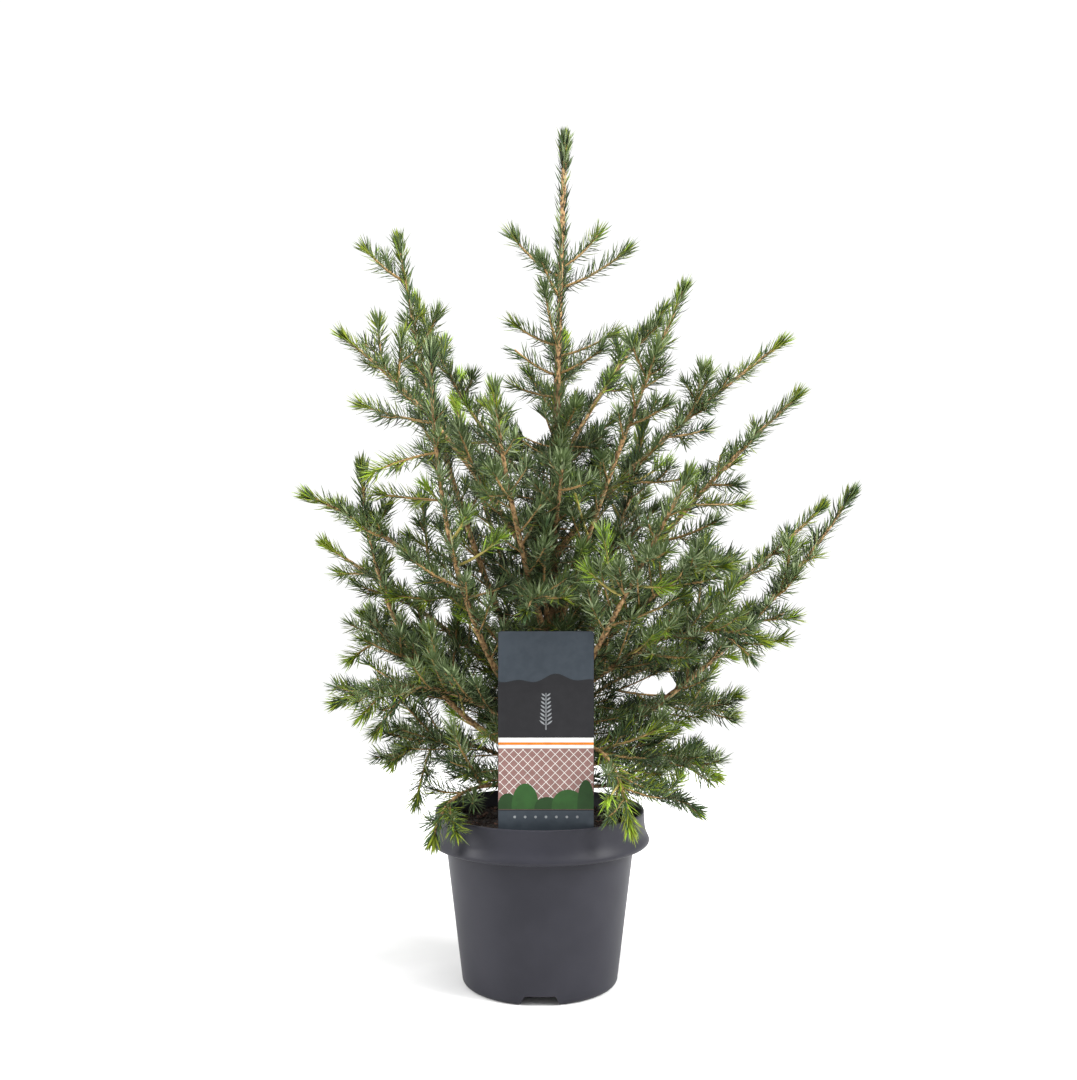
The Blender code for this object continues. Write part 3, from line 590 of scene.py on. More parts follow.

# side shoots that stand out: share along the bough, bearing, reach, rise, found by a search
standingShoots = {
    "left_tall_back": [(0.93, 200, 0.036, 0.026)],
    "left_high": [(0.60, 314, 0.014, 0.016)],
    "left_tall_front": [
        (0.86, 162, 0.066, 0.017),
        (0.80, 193, 0.053, -0.017),
        (0.70, 162, 0.059, 0.006),
        (0.61, 303, 0.026, 0.020),
        (0.55, 337, 0.040, 0.023),
        (0.47, 344, 0.037, 0.011),
    ],
    "left_upper": [(0.83, 116, 0.016, 0.044)],
    "left_wide": [(0.85, 157, 0.031, -0.001)],
    "right_long_front": [(0.76, 294, 0.024, 0.032)],
    "right_upper": [(0.64, 317, 0.030, 0.041), (0.58, 29, 0.042, 0.008)],
    "right_middle": [
        (0.73, 52, 0.025, 0.011),
        (0.68, 317, 0.029, -0.001),
        (0.61, 15, 0.047, 0.001),
    ],
    "right_wide": [(0.71, 305, 0.024, 0.018), (0.63, 22, 0.041, 0.002)],
    "front_right": [(0.57, 201, 0.033, 0.023), (0.61, 336, 0.030, -0.001)],
    "left_low": [(0.83, 199, 0.031, -0.017)],
    "left_lowest": [(0.61, 162, 0.040, -0.039)],
    "left_drooping": [(0.61, 212, 0.019, -0.052)],
    "right_lower": [(0.80, 342, 0.038, 0.010)],
    "right_low": [(0.79, 26, 0.036, -0.023)],
}

# twigs round the leader: foot and top of each ring, then root height, bearing, reach, rise
leaderRings = {
    "leader_tip": (0.650, 0.7430, []),
    "leader_upper": (0.585, 0.6495, [
        (0.613, 172, 0.043, 0.038),
        (0.622, 14, 0.034, 0.031),
        (0.604, 356, 0.057, 0.031),
        (0.596, 238, 0.030, 0.026),
        (0.600, 84, 0.045, 0.030),
    ]),
    "leader_middle": (0.512, 0.5845, [
        (0.552, 236, 0.022, 0.048),
        (0.553, 176, 0.040, 0.020),
        (0.544, 4, 0.048, 0.020),
        (0.527, 190, 0.038, 0.022),
        (0.529, 344, 0.040, 0.020),
        (0.536, 95, 0.046, 0.026),
    ]),
    "leader_lower": (0.452, 0.5115, [
        (0.508, 174, 0.037, 0.010),
        (0.490, 66, 0.045, 0.020),
        (0.470, 290, 0.048, 0.026),
    ]),
}

label = {
    "centreX": 0.0048,
    "frontY": -0.0755,
    "width": 0.0783,
    "bottom": 0.1358,
    "top": 0.3096,
    "thickness": 0.0010,
    "corner": 0.0025,
    "spikeWidth": 0.0160,
    "spikeTipWidth": 0.0040,
    "spikeBottom": 0.0980,
    "spikeTaper": 0.0200,
    "edgeRounding": 0.0002,
}


def trunkAxis(height):
    share = (height - plant["soilTop"]) / (plant["trunkTop"] - plant["soilTop"])
    sway = 0.0016 * math.sin(share * math.tau)
    foot = plant["trunkFoot"]
    tip = plant["trunkTip"]
    return Vector((foot[0] + (tip[0] - foot[0]) * share,
                   foot[1] + (tip[1] - foot[1]) * share + sway, height))


def trunkRadius(height):
    share = min((height - plant["soilTop"]) / (plant["trunkTop"] - plant["soilTop"]), 1.0)
    radius = plant["tipRadius"] + (plant["baseRadius"] - plant["tipRadius"]) * (1.0 - share) ** 1.25
    flare = max(0.0, 1.0 - (height - plant["soilTop"]) / plant["flareHeight"])
    return radius + (plant["flareRadius"] - plant["baseRadius"]) * flare ** 2


def bentPath(start, bend, end):
    def path(share):
        rest = 1.0 - share
        return start * rest * rest + bend * 2.0 * rest * share + end * share * share
    return path


def splitPath(path, step):
    fine = [path(index / 60.0) for index in range(61)]
    length = sum((b - a).length for a, b in zip(fine, fine[1:]))
    count = max(2, round(length / step))
    return [path(index / count) for index in range(count + 1)], length


def levelAt(bearing):
    angle = math.radians(bearing)
    return Vector((math.cos(angle), math.sin(angle), 0.0))


def boughPath(row):
    rootHeight, bearing, reach, tipHeight, bendShare, bendRise, _ = row
    root = trunkAxis(rootHeight)
    level = levelAt(bearing)
    bend = root + level * reach * bendShare + Vector((0.0, 0.0, bendRise))
    tip = root + level * reach
    tip.z = tipHeight
    return bentPath(root, bend, tip)


def nearLabel(point, margin):
    across = abs(point.x - label["centreX"]) < label["width"] / 2 + margin
    return across and point.y < label["frontY"] + 0.006 + margin and point.z < label["top"] + margin


def nearPot(point, margin):
    out = math.hypot(point.x, point.y)
    return point.z < pot["height"] + margin and out < pot["lipRadius"] + margin


def nearTrunk(point, margin):
    if point.z > plant["trunkTop"] + margin:
        return False
    height = max(point.z, plant["soilTop"])
    return (point - trunkAxis(height)).length < trunkRadius(height) + margin


def spread(points):
    # points about 3 mm apart along a row of points
    found = []
    for a, b in zip(points, points[1:]):
        count = max(1, round((b - a).length / 0.003))
        found += [a.lerp(b, index / count) for index in range(count)]
    found.append(points[-1])
    return found


def treeOf(points):
    tree = KDTree(len(points))
    for index, point in enumerate(points):
        tree.insert(point, index)
    tree.balance()
    return tree


def lateralPoints(path, share, length, roll):
    here = path(share)
    forward = (path(min(share + 0.02, 1.0)) - path(share - 0.02)).normalized()
    side = forward.cross(upward)
    side = side.normalized() if side.length > 0.1 else Vector((1.0, 0.0, 0.0))
    outward = side * math.cos(roll) + side.cross(forward) * math.sin(roll)
    heading = forward * math.cos(plant["lateralAngle"]) + outward * math.sin(plant["lateralAngle"])
    end = here + heading * length + Vector((0.0, 0.0, plant["lateralRise"] * length))
    return splitPath(bentPath(here, here + heading * length * 0.5, end), plant["pointStep"])[0]


def pointedPoints(root, bearing, reach, rise):
    level = levelAt(bearing)
    end = root + level * reach + Vector((0.0, 0.0, rise))
    bend = root + level * reach * 0.5 + Vector((0.0, 0.0, rise * 0.25))
    return splitPath(bentPath(root, bend, end), plant["pointStep"])[0]


def isFree(points, others):
    for point in spread(points)[3:]:
        if others.find(point)[2] < plant["clearance"]:
            return False
        if nearLabel(point, 0.005) or nearPot(point, 0.007) or nearTrunk(point, 0.006):
            return False
    return True


def othersOf(name, placed):
    return treeOf([point for owner, points in placed.items() if owner != name for point in points])


def growLaterals(name, seed, path, count, firstShare, placed):
    rng = random.Random(f"foliage_{name} {seed}")
    roll = rng.uniform(0.0, math.tau)
    others = othersOf(name, placed)
    longest = plant["lateralLongest"]
    shortest = plant["lateralShortest"]
    grown = []
    for index in range(count):
        along = (index + rng.uniform(0.3, 0.7)) / count
        share = firstShare + (plant["lateralLastShare"] - firstShare) * along
        reach = shortest + (longest - shortest) * (1.0 - along) ** 0.8
        reach *= rng.uniform(0.85, 1.12)
        roll += plant["goldenAngle"] + rng.uniform(-0.3, 0.3)
        for turn in (0.0, 0.7, -0.7, 1.5, -1.5, 2.4):
            points = lateralPoints(path, share, reach, roll + turn)
            if isFree(points, others):
                grown.append(points)
                placed[name] += spread(points)
                break
    return grown


def growSkeleton():
    # main stems first, so that each side shoot knows all of them
    paths = {}
    placed = {}
    stems = {}
    for name, row in limbedBoughs.items():
        path = boughPath(row)
        paths[name] = path
        share = plant["limbShare"]
        limb = splitPath(lambda part: path(share * part), plant["limbStep"])
        placed[f"limb {name}"] = spread(limb[0])
        first = share + 0.0003 / limb[1] * share
        points = splitPath(lambda part: path(first + (1.0 - first) * part), plant["pointStep"])[0]
        stems[name] = [points]
    for name, row in trunkBoughs.items():
        paths[name] = boughPath(row)
        stems[name] = [splitPath(paths[name], plant["pointStep"])[0]]
    for name, (foot, top, twigs) in leaderRings.items():
        stems[name] = [pointedPoints(trunkAxis(height), *rest) for height, *rest in twigs]
        placed[name] = spread([trunkAxis(foot), trunkAxis(top)])
    for name, rows in stems.items():
        placed.setdefault(name, [])
        for points in rows:
            placed[name] += spread(points)
    for name, rows in standingShoots.items():
        others = othersOf(name, placed)
        for share, *rest in rows:
            points = pointedPoints(paths[name](share), *rest)
            if isFree(points, others):
                stems[name].append(points)
                placed[name] += spread(points)
    for name, row in {**limbedBoughs, **trunkBoughs}.items():
        length = splitPath(paths[name], plant["pointStep"])[1]
        first = (plant["limbShare"] if name in limbedBoughs else plant["bareShare"]) + plant["lateralStart"]
        standing = len(standingShoots.get(name, []))
        count = max(1, int(length * (1.0 - first) / plant["lateralSpacing"]) - standing)
        stems[name] += growLaterals(name, row[-1], paths[name], count, first, placed)
    return paths, stems


# bark, finer twigs and needles that carry the rule on

bark = {
    "trunkSides": 28,
    "trunkStep": 0.0022,
    "trunkRelief": 0.00055,
    "plateSize": 0.0045,
    "boughSides": 10,
    "boughStep": 0.0026,
    "boughRelief": 0.00030,
    "boughGrain": 0.0028,
    "trunkBoughRadius": 0.0020,
    "boughTipRadius": 0.0011,
    "boughTaper": 0.75,
    "collar": 0.35,
    "collarFall": 28.0,
    "leaderTipRadius": 0.0023,
    "leaderEnd": 0.7310,
    "youngFrom": 0.520,
}
twigs = {
    "seed": 5,
    "sides": 6,
    "step": 0.0045,
    # spacing, longest, shortest, last share; closer and longer on the low boughs
    "fill": (0.0155, 0.038, 0.011, 0.88),
    "lowFill": (0.0070, 0.066, 0.026, 0.90),
    "lowUnder": 0.235,
    "fineFrom": 0.040,
    "fineSpacing": 0.0170,
    "fineUntil": 0.62,
    "fineLongest": 0.024,
    # how far a shoot's roll may stray from level, on side shoots and on boughs
    "fineSway": 0.9,
    "fillSway": 0.5,
    "fineFirst": 0.16,
    "fineShortest": 0.010,
    "innerShoots": 170,
    "innerHeights": (0.165, 0.480),
    # shortest and longest reach, low down and above, and the share of the shoots that are low
    "innerReach": ((0.040, 0.095), (0.026, 0.050)),
    "innerLowShare": 0.36,
    "innerBare": 0.008,
    # radius at foot and tip, by the shoot's order
    "radius": {1: (0.00135, 0.00085), 2: (0.00090, 0.00060)},
    # across, up and radius of the gaps between boughs that show sky from the front, most of
    # them found by a search
    "skyGaps": ((-0.0061, 0.4833, 0.0120), (0.1527, 0.4632, 0.0070), (-0.0218, 0.5566, 0.0070),
                (-0.1544, 0.2686, 0.0070), (-0.1640, 0.3733, 0.0075), (0.0977, 0.2564, 0.0085),
                (0.1120, 0.2570, 0.0065)),
    # fresh shoots: how many, and how much of their stem is bare
    "freshShare": 0.10,
    "freshWithin": 0.12,
    "freshBare": 0.55,
    # bare foot of a main stem that a limb carries
    "limbedBare": 0.010,
}
needles = {
    "seed": 23,
    # spacing along a shoot, by its order: leader, bough, side shoot, fine shoot
    "spacing": {-1: 0.00098, 0: 0.00072, 1: 0.00086, 2: 0.00085},
    # old wood inside the crown keeps only part of its needles: share of the bough, part kept
    "oldWood": ((0.12, 0.55), (0.22, 1.0)),
    # the outer face of a bough is worn bare: how far round, how far along, part kept
    "wornFace": 0.35,
    "wornUntil": 0.72,
    "wornKept": 0.15,
    # how much closer they stand towards a tip, and over what length
    "crowding": 1.6,
    "crowdedLength": 0.020,
    "lengths": (0.0130, 0.0175),
    "width": {-1: 0.00145, 0: 0.00135, 1: 0.00110, 2: 0.00098},
    "tuftWidth": 1.25,
    "depth": 0.00060,
    # how far needles lean out from a shoot at its foot and at its tip, by its order
    "lean": {-1: (0.60, 0.60), 0: (0.88, 0.50), 1: (0.98, 0.55), 2: (1.10, 0.62)},
    "lift": 0.18,
    # needles crowded near a tip, by the shoot's order, and how far back they start
    "tufts": {-1: 4, 0: 34, 1: 24, 2: 12},
    "tuftLean": {-1: 0.40, 0: 0.70, 1: 0.85, 2: 1.10},
    "tuftDepth": 0.013,
    "freshTuft": 18,
    # the brush at the leader's tip: how many, how far they lean, how far back they start
    "brush": 130,
    "brushLean": 0.62,
    "brushDepth": 0.028,
    # needles that point down more than this part to the sides, and some are kept
    "partedBelow": -0.55,
    "partedKept": 0.62,
    "widestAt": 0.60,
    "footWidth": 0.75,
    "fineLength": 0.92,
    "paleShare": 0.25,
    "shortestKept": 0.5,
    "pieceLimit": 190000,
    "limeShoots": (("left_tall_front", 0.61), ("left_tall_front", 0.55),
                   ("front_right", 0.57), ("front_right", 0.61)),
}


def smoothLine(points, step):
    # a finer row of points on a smooth curve through the given ones
    rough = np.array([tuple(point) for point in points])
    padded = np.vstack([2 * rough[0] - rough[1], rough, 2 * rough[-1] - rough[-2]])
    found = []
    for index in range(len(rough) - 1):
        a, b, c, d = padded[index:index + 4]
        count = max(1, int(round(np.linalg.norm(c - b) / step)))
        for part in range(count):
            t = part / count
            found.append(0.5 * (2 * b + (c - a) * t + (2 * a - 5 * b + 4 * c - d) * t * t
                                + (3 * b - a - 3 * c + d) * t ** 3))
    found.append(rough[-1])
    return np.array(found)


def unit(vectors):
    return vectors / np.maximum(np.linalg.norm(vectors, axis=-1, keepdims=True), 1e-9)


def framesAlong(line):
    ahead = unit(np.gradient(line, axis=0))
    side = np.cross(ahead[0], (0.0, 0.0, 1.0))
    side = np.array((1.0, 0.0, 0.0)) if np.linalg.norm(side) < 0.1 else side
    sides = []
    for direction in ahead:
        side = side - direction * np.dot(side, direction)
        side = side / np.linalg.norm(side)
        sides.append(side)
    return ahead, np.array(sides)


def distancesAlong(line):
    return np.concatenate([[0.0], np.cumsum(np.linalg.norm(np.diff(line, axis=0), axis=1))])


def tubeArrays(line, radii, sides, raised=None):
    # a closed tube through a line, its surface raised by a function of place
    ahead, across = framesAlong(line)
    other = np.cross(ahead, across)
    angles = np.arange(sides) * math.tau / sides
    cosine = np.cos(angles)[None, :, None]
    sine = np.sin(angles)[None, :, None]
    outward = across[:, None] * cosine + other[:, None] * sine
    skin = line[:, None] + outward * radii[:, None, None]
    if raised is not None:
        lifts = np.array([[raised(Vector(point)) for point in ring] for ring in skin])
        skin = skin + outward * lifts[..., None]
    rings = len(line)
    points = np.vstack([skin.reshape(-1, 3), line[0], line[-1]])
    first = (np.arange(rings - 1)[:, None] * sides + np.arange(sides)[None]).ravel()
    after = (np.arange(rings - 1)[:, None] * sides + (np.arange(sides)[None] + 1) % sides).ravel()
    walls = np.concatenate([np.stack([first, after, after + sides], 1),
                            np.stack([first, after + sides, first + sides], 1)])
    turn = np.arange(sides)
    foot = np.stack([(turn + 1) % sides, turn, np.full(sides, rings * sides)], 1)
    top = (rings - 1) * sides
    cap = np.stack([top + turn, top + (turn + 1) % sides, np.full(sides, rings * sides + 1)], 1)
    return points, np.concatenate([walls, foot, cap])


def joinArrays(parts):
    points = []
    faces = []
    total = 0
    for partPoints, partFaces in parts:
        points.append(partPoints)
        faces.append(partFaces + total)
        total += len(partPoints)
    return np.concatenate(points), np.concatenate(faces)


def plates(point):
    # flaking plates, higher in the middle than at their edges, with fine scales between
    near, next_ = noise.voronoi(Vector((point.x, point.y, point.z * 0.55)) / bark["plateSize"])[0][:2]
    fine = noise.noise(point * 900.0)
    return bark["trunkRelief"] * (min(next_ - near, 0.5) * 1.6 - 0.35 + 0.3 * fine)


def boughGrain(point):
    # ridges that run down from each fallen needle's peg
    coarse = noise.noise(Vector((point.x, point.y, point.z * 0.6)) / bark["boughGrain"])
    return bark["boughRelief"] * coarse


def makeTrunk(barkMaterial, youngMaterial):
    low = plant["soilTop"] - 0.0020
    count = int((bark["leaderEnd"] - low) / bark["trunkStep"])
    heights = np.linspace(low, bark["leaderEnd"], count)
    line = np.array([tuple(trunkAxis(height)) for height in heights])
    radii = np.array([trunkRadius(max(height, plant["soilTop"])) for height in heights])
    radii = np.maximum(radii, bark["leaderTipRadius"])
    small = np.clip(radii / 0.006, 0.25, 1.0)
    points, faces = tubeArrays(line, radii, bark["trunkSides"], plates)
    # the plates shrink with the stem towards the tip
    skin = points[:-2].reshape(count, bark["trunkSides"], 3)
    smooth = tubeArrays(line, radii, bark["trunkSides"])[0][:-2].reshape(skin.shape)
    points[:-2] = (smooth + (skin - smooth) * small[:, None, None]).reshape(-1, 3)
    isYoung = points[faces[:, 0], 2] > bark["youngFrom"]
    mesh = meshFromArrays("trunkBark", points, faces, isYoung.astype(int))
    mesh.shade_smooth()
    piece = newPiece("trunkBark", mesh, [barkMaterial, youngMaterial])
    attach(piece, "root")
    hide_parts("trunk")
    print("trunk ready")


def makeBoughs(paths, barkMaterial):
    parts = []
    for name, path in paths.items():
        limbed = name in limbedBoughs
        line = smoothLine(splitPath(path, 0.006)[0], bark["boughStep"])
        share = distancesAlong(line)
        share = share / share[-1]
        foot = plant["limbRadius"] if limbed else bark["trunkBoughRadius"]
        tip = bark["boughTipRadius"]
        radii = tip + (foot - tip) * (1.0 - share) ** bark["boughTaper"]
        # a collar where the bough leaves the trunk
        radii = radii * (1.0 + bark["collar"] * np.exp(-share * bark["collarFall"]))
        parts.append(tubeArrays(line, radii, bark["boughSides"], boughGrain))
    points, faces = joinArrays(parts)
    mesh = meshFromArrays("boughBark", points, faces)
    mesh.shade_smooth()
    piece = newPiece("boughBark", mesh, [barkMaterial])
    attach(piece, "root")
    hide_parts(*[f"bough_{name}" for name in limbedBoughs])
    print("boughs ready,", len(faces), "triangles")


def inSkyGap(points, part=1.0):
    # seen from the front, whether each point lies where the crown stays open to the sky
    middle = np.array(studio["cameraPlace"])
    nearer = middle[1] / (middle[1] - points[:, 1])
    across = middle[0] + (points[:, 0] - middle[0]) * nearer
    up = middle[2] + (points[:, 2] - middle[2]) * nearer
    found = np.zeros(len(points), bool)
    for x, z, radius in twigs["skyGaps"]:
        found |= np.hypot(across - x, up - z) < radius * part
    return found


def clearOfHardware(points):
    return not any(nearLabel(point, 0.003) or nearPot(point, 0.004) for point in points)


def addShoot(shoots, mass, points, order, bare=0.0, lime=False):
    line = smoothLine(points, twigs["step"])
    length = distancesAlong(line)[-1]
    if lime:
        bare = twigs["freshBare"] * length
    shoots.append({"mass": mass, "line": line, "length": length, "order": order,
                   "bare": bare, "lime": lime})


def sideShoots(path, first, until, spacing, longest, shortest, length, sway, rng):
    # short shoots along a curve, mostly to its two sides and a little below
    count = max(0, int(length * (until - first) / spacing))
    found = []
    side = rng.choice((-1, 1))
    for index in range(count):
        along = (index + rng.uniform(0.25, 0.75)) / count
        share = first + (until - first) * along
        reach = (shortest + (longest - shortest) * (1.0 - along) ** 0.7) * rng.uniform(0.75, 1.15)
        side = -side
        roll = (0.0 if side > 0 else math.pi) + rng.uniform(-sway, sway)
        points = lateralPoints(path, max(share, 0.021), reach, roll)
        if clearOfHardware(points):
            found.append(points)
    return found


def mayBeFresh(name, points):
    # fresh shoots stand inside the crown, and none on the boughs that lie on the pot's rim
    return "rim" not in name and points[0].xy.length < twigs["freshWithin"]


def growShoots(paths, stems):
    rng = random.Random(twigs["seed"])
    shoots = []
    for name, rows in stems.items():
        onTrunk = name in leaderRings
        standing = standingShoots.get(name, [])
        for index, points in enumerate(rows):
            isMain = index == 0 and not onTrunk
            rough = sum((b - a).length for a, b in zip(points, points[1:]))
            bare = 0.0
            if isMain:
                bare = twigs["limbedBare"] if name in limbedBoughs else plant["bareShare"] * rough
            lime = not isMain and not onTrunk and rng.random() < twigs["freshShare"]
            if not onTrunk and 0 < index <= len(standing):
                lime = (name, standing[index - 1][0]) in needles["limeShoots"]
            lime = lime and mayBeFresh(name, points)
            addShoot(shoots, name, points, 0 if isMain else 1, bare, lime)
            if isMain or onTrunk or rough < twigs["fineFrom"]:
                continue
            line = smoothLine(points, 0.004)

            def path(share, line=line):
                place = share * (len(line) - 1)
                low = min(int(place), len(line) - 2)
                return Vector(line[low] + (line[low + 1] - line[low]) * (place - low))

            for fine in sideShoots(path, twigs["fineFirst"], twigs["fineUntil"], twigs["fineSpacing"],
                                   min(twigs["fineLongest"], rough * 0.5), twigs["fineShortest"],
                                   rough, twigs["fineSway"], rng):
                if not lime:
                    addShoot(shoots, name, fine, 2)
    for name, path in paths.items():
        length = splitPath(path, plant["pointStep"])[1]
        first = plant["limbShare"] * (0.75 if name in limbedBoughs else 1.0)
        low = name in trunkBoughs and trunkBoughs[name][0] < twigs["lowUnder"] and "rim" not in name
        spacing, longest, shortest, until = twigs["lowFill"] if low else twigs["fill"]
        for points in sideShoots(path, first, until, spacing, longest, shortest, length,
                                 twigs["fillSway"], rng):
            isFresh = rng.random() < twigs["freshShare"] and mayBeFresh(name, points)
            addShoot(shoots, name, points, 2, lime=isFresh)
    # short shoots close round the trunk, each dealt to the bough that leaves nearest to it
    for index in range(twigs["innerShoots"]):
        low, high = twigs["innerHeights"]
        height = low + (high - low) * (index + rng.random()) / twigs["innerShoots"]
        bearing = math.degrees(index * plant["goldenAngle"]) + rng.uniform(-20, 20)
        isLow = index < twigs["innerShoots"] * twigs["innerLowShare"]
        reach = rng.uniform(*twigs["innerReach"][0 if isLow else 1])
        points = pointedPoints(trunkAxis(height), bearing, reach, rng.uniform(-0.01, 0.03))
        if clearOfHardware(points):
            owner = min(trunkBoughs, key=lambda name: abs(trunkBoughs[name][0] - height))
            addShoot(shoots, owner, points, 2, twigs["innerBare"])
    # the leader's own stem bears needles between its rings
    for name, (foot, top, _) in leaderRings.items():
        top = min(top, bark["leaderEnd"])
        points = [trunkAxis(foot + (top - foot) * index / 8) for index in range(9)]
        addShoot(shoots, name, points, -1)
    return [shoot for shoot in shoots if shoot["order"] < 2 or not inSkyGap(shoot["line"]).any()]


def makeTwigs(shoots, materials):
    parts = []
    tones = []
    for shoot in shoots:
        if shoot["order"] < 1:
            continue
        line = shoot["line"]
        share = distancesAlong(line) / shoot["length"]
        foot, tip = twigs["radius"][shoot["order"]]
        radii = foot + (tip - foot) * share
        parts.append(tubeArrays(line, radii, twigs["sides"]))
        tones.append(np.full(len(parts[-1][1]), int(shoot["lime"])))
    points, faces = joinArrays(parts)
    mesh = meshFromArrays("twigs", points, faces, np.concatenate(tones))
    mesh.shade_smooth()
    piece = newPiece("twigs", mesh, materials)
    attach(piece, "root")
    print("twigs ready,", len(parts), "shoots,", len(faces), "triangles")


# one needle: a foot of three points, three more at its widest, and its tip
needleFaces = np.array([
    (0, 2, 1),
    (0, 1, 4), (0, 4, 3), (1, 2, 5), (1, 5, 4), (2, 0, 3), (2, 3, 5),
    (3, 4, 6), (4, 5, 6), (5, 3, 6),
])
needleUnderside = np.array([1, 1, 1, 0, 0, 0, 0, 1, 0, 0], bool)


def roomInBox(foot, reach):
    # how much of each needle's length fits inside the plant's own box
    room = np.where(reach > 0.0, np.array(cadHigh) - 0.0003 - foot, foot - np.array(cadLow) - 0.0003)
    return np.clip(np.min(room / np.maximum(np.abs(reach), 1e-6), axis=1), 0.0, 1.0)


def needleArrays(shoot, rng):
    # points of every needle on a shoot, and the tone of each needle
    line = shoot["line"]
    reached = distancesAlong(line)
    length = shoot["length"]
    ahead, across = framesAlong(line)
    places = np.linspace(shoot["bare"], length, 200)
    crowd = 1.0 + needles["crowding"] * np.exp((places - length) / needles["crowdedLength"])
    if shoot["order"] == 0:
        crowd = crowd * np.interp(places / length, *needles["oldWood"])
    crowd = np.concatenate([[0.0], np.cumsum((crowd[1:] + crowd[:-1]) / 2 * np.diff(places))])
    spacing = needles["spacing"][shoot["order"]]
    count = int(crowd[-1] / spacing)
    if count < 3:
        return None
    onStem = np.interp((np.arange(count) + rng.uniform(0.1, 0.9, count)) * spacing, crowd, places)
    atTop = shoot["mass"] == "leader_tip"
    tuft = needles["brush"] if atTop else needles["tufts"][shoot["order"]]
    if shoot["lime"]:
        tuft = needles["freshTuft"]
    depth = needles["brushDepth"] if atTop else needles["tuftDepth"]
    onStem = np.concatenate([onStem, length - depth * rng.random(tuft) ** 1.4])
    onStem = np.clip(onStem, 0.0, length)
    isTuft = np.arange(len(onStem)) >= count
    share = onStem / length
    foot = np.stack([np.interp(onStem, reached, line[:, axis]) for axis in range(3)], 1)
    along = unit(np.stack([np.interp(onStem, reached, ahead[:, axis]) for axis in range(3)], 1))
    side = unit(np.stack([np.interp(onStem, reached, across[:, axis]) for axis in range(3)], 1))
    other = np.cross(along, side)
    roll = np.arange(len(onStem)) * plant["goldenAngle"] + rng.uniform(0, math.tau)
    roll = roll + rng.uniform(-0.35, 0.35, len(onStem))
    outward = side * np.cos(roll)[:, None] + other * np.sin(roll)[:, None]
    # needles under the shoot part to its two sides
    keep = (outward[:, 2] > needles["partedBelow"]) | (rng.random(len(onStem)) < needles["partedKept"])
    keep |= isTuft
    # and the outer face of older wood is worn bare
    if shoot["order"] == 0:
        away = unit(foot * np.array((1.0, 1.0, 0.0)) + 1e-6)
        isWorn = (np.sum(outward * away, 1) > needles["wornFace"]) & (share < needles["wornUntil"])
        keep &= ~isWorn | (rng.random(len(onStem)) < needles["wornKept"])
    toTip = np.clip((share - 0.55) / 0.45, 0.0, 1.0) ** 1.5
    atFoot, atTip = needles["lean"][shoot["order"]]
    lean = atFoot + (atTip - atFoot) * toTip + rng.normal(0.0, 0.16, len(onStem))
    widest = needles["brushLean"] if atTop else needles["tuftLean"][shoot["order"]]
    lean = np.where(isTuft, rng.uniform(0.10, widest, len(onStem)), lean)
    pointing = along * np.cos(lean)[:, None] + outward * np.sin(lean)[:, None]
    pointing[:, 2] += needles["lift"] * np.sin(lean)
    pointing = unit(pointing)
    size = rng.uniform(*needles["lengths"], len(onStem))
    size = size * np.interp(share, (0.0, 0.15, 0.8, 1.0), (0.72, 1.0, 1.0, 0.95))
    if shoot["order"] == 2:
        size = size * needles["fineLength"]
    upper = np.array((0.0, 0.0, 1.0)) + outward * 0.45 + rng.normal(0.0, 0.25, (len(onStem), 3))
    upper = unit(upper - pointing * np.sum(upper * pointing, 1)[:, None])
    wide = np.cross(pointing, upper)
    sweep = unit(along * 0.8 + np.array((0.0, 0.0, 0.5)))
    half = needles["width"][shoot["order"]] / 2 * rng.uniform(0.85, 1.15, len(onStem))[:, None]
    half = half * np.where(isTuft, needles["tuftWidth"], 1.0)[:, None]
    deep = needles["depth"] * rng.uniform(0.85, 1.15, len(onStem))[:, None]
    reach = pointing + sweep * rng.uniform(0.02, 0.16, len(onStem))[:, None]
    size = size * roomInBox(foot, reach * size[:, None])
    middle = foot + pointing * size[:, None] * needles["widestAt"]
    tip = foot + reach * size[:, None]
    narrow = needles["footWidth"]
    corners = np.stack([
        foot - wide * half * narrow, foot + wide * half * narrow, foot + upper * deep * 0.6,
        middle - wide * half, middle + wide * half, middle + upper * deep * 0.75,
        tip,
    ], 1)
    keep &= size > needles["shortestKept"] * needles["lengths"][0]
    keep &= ~np.array([nearLabel(point, 0.0008) or nearPot(point, 0.0010)
                       for point in (Vector(row) for row in tip)])
    keep &= ~inSkyGap(middle) & ~inSkyGap(tip, rng.uniform(0.65, 1.15, len(tip)))
    tone = toneOf(shoot, foot, share, rng)
    return corners[keep], tone[keep]


# needle tones, dealt out by spray and by place in the crown, the darker ones partly painted shade; the
# first six are upper sides, the last two undersides
# leaf wax of a spruce: a satin cuticle over chlorophyll, bluish where the bloom lies thick
needleTones = {
    "needleShade": "#232c19",
    "needleBlueGreen": "#374b2d",
    "needleDeepGreen": "#4f5a17",
    "needleGreen": "#6c791e",
    "needleFreshGreen": "#748e20",
    "needleLime": "#88a634",
    "needleBloom": "#4d5c38",
    "needleBloomLight": "#85926c",
}


def crownRadius(height):
    return np.interp(height, (0.13, 0.20, 0.40, 0.50, 0.60, 0.75), (0.12, 0.20, 0.24, 0.20, 0.11, 0.03))


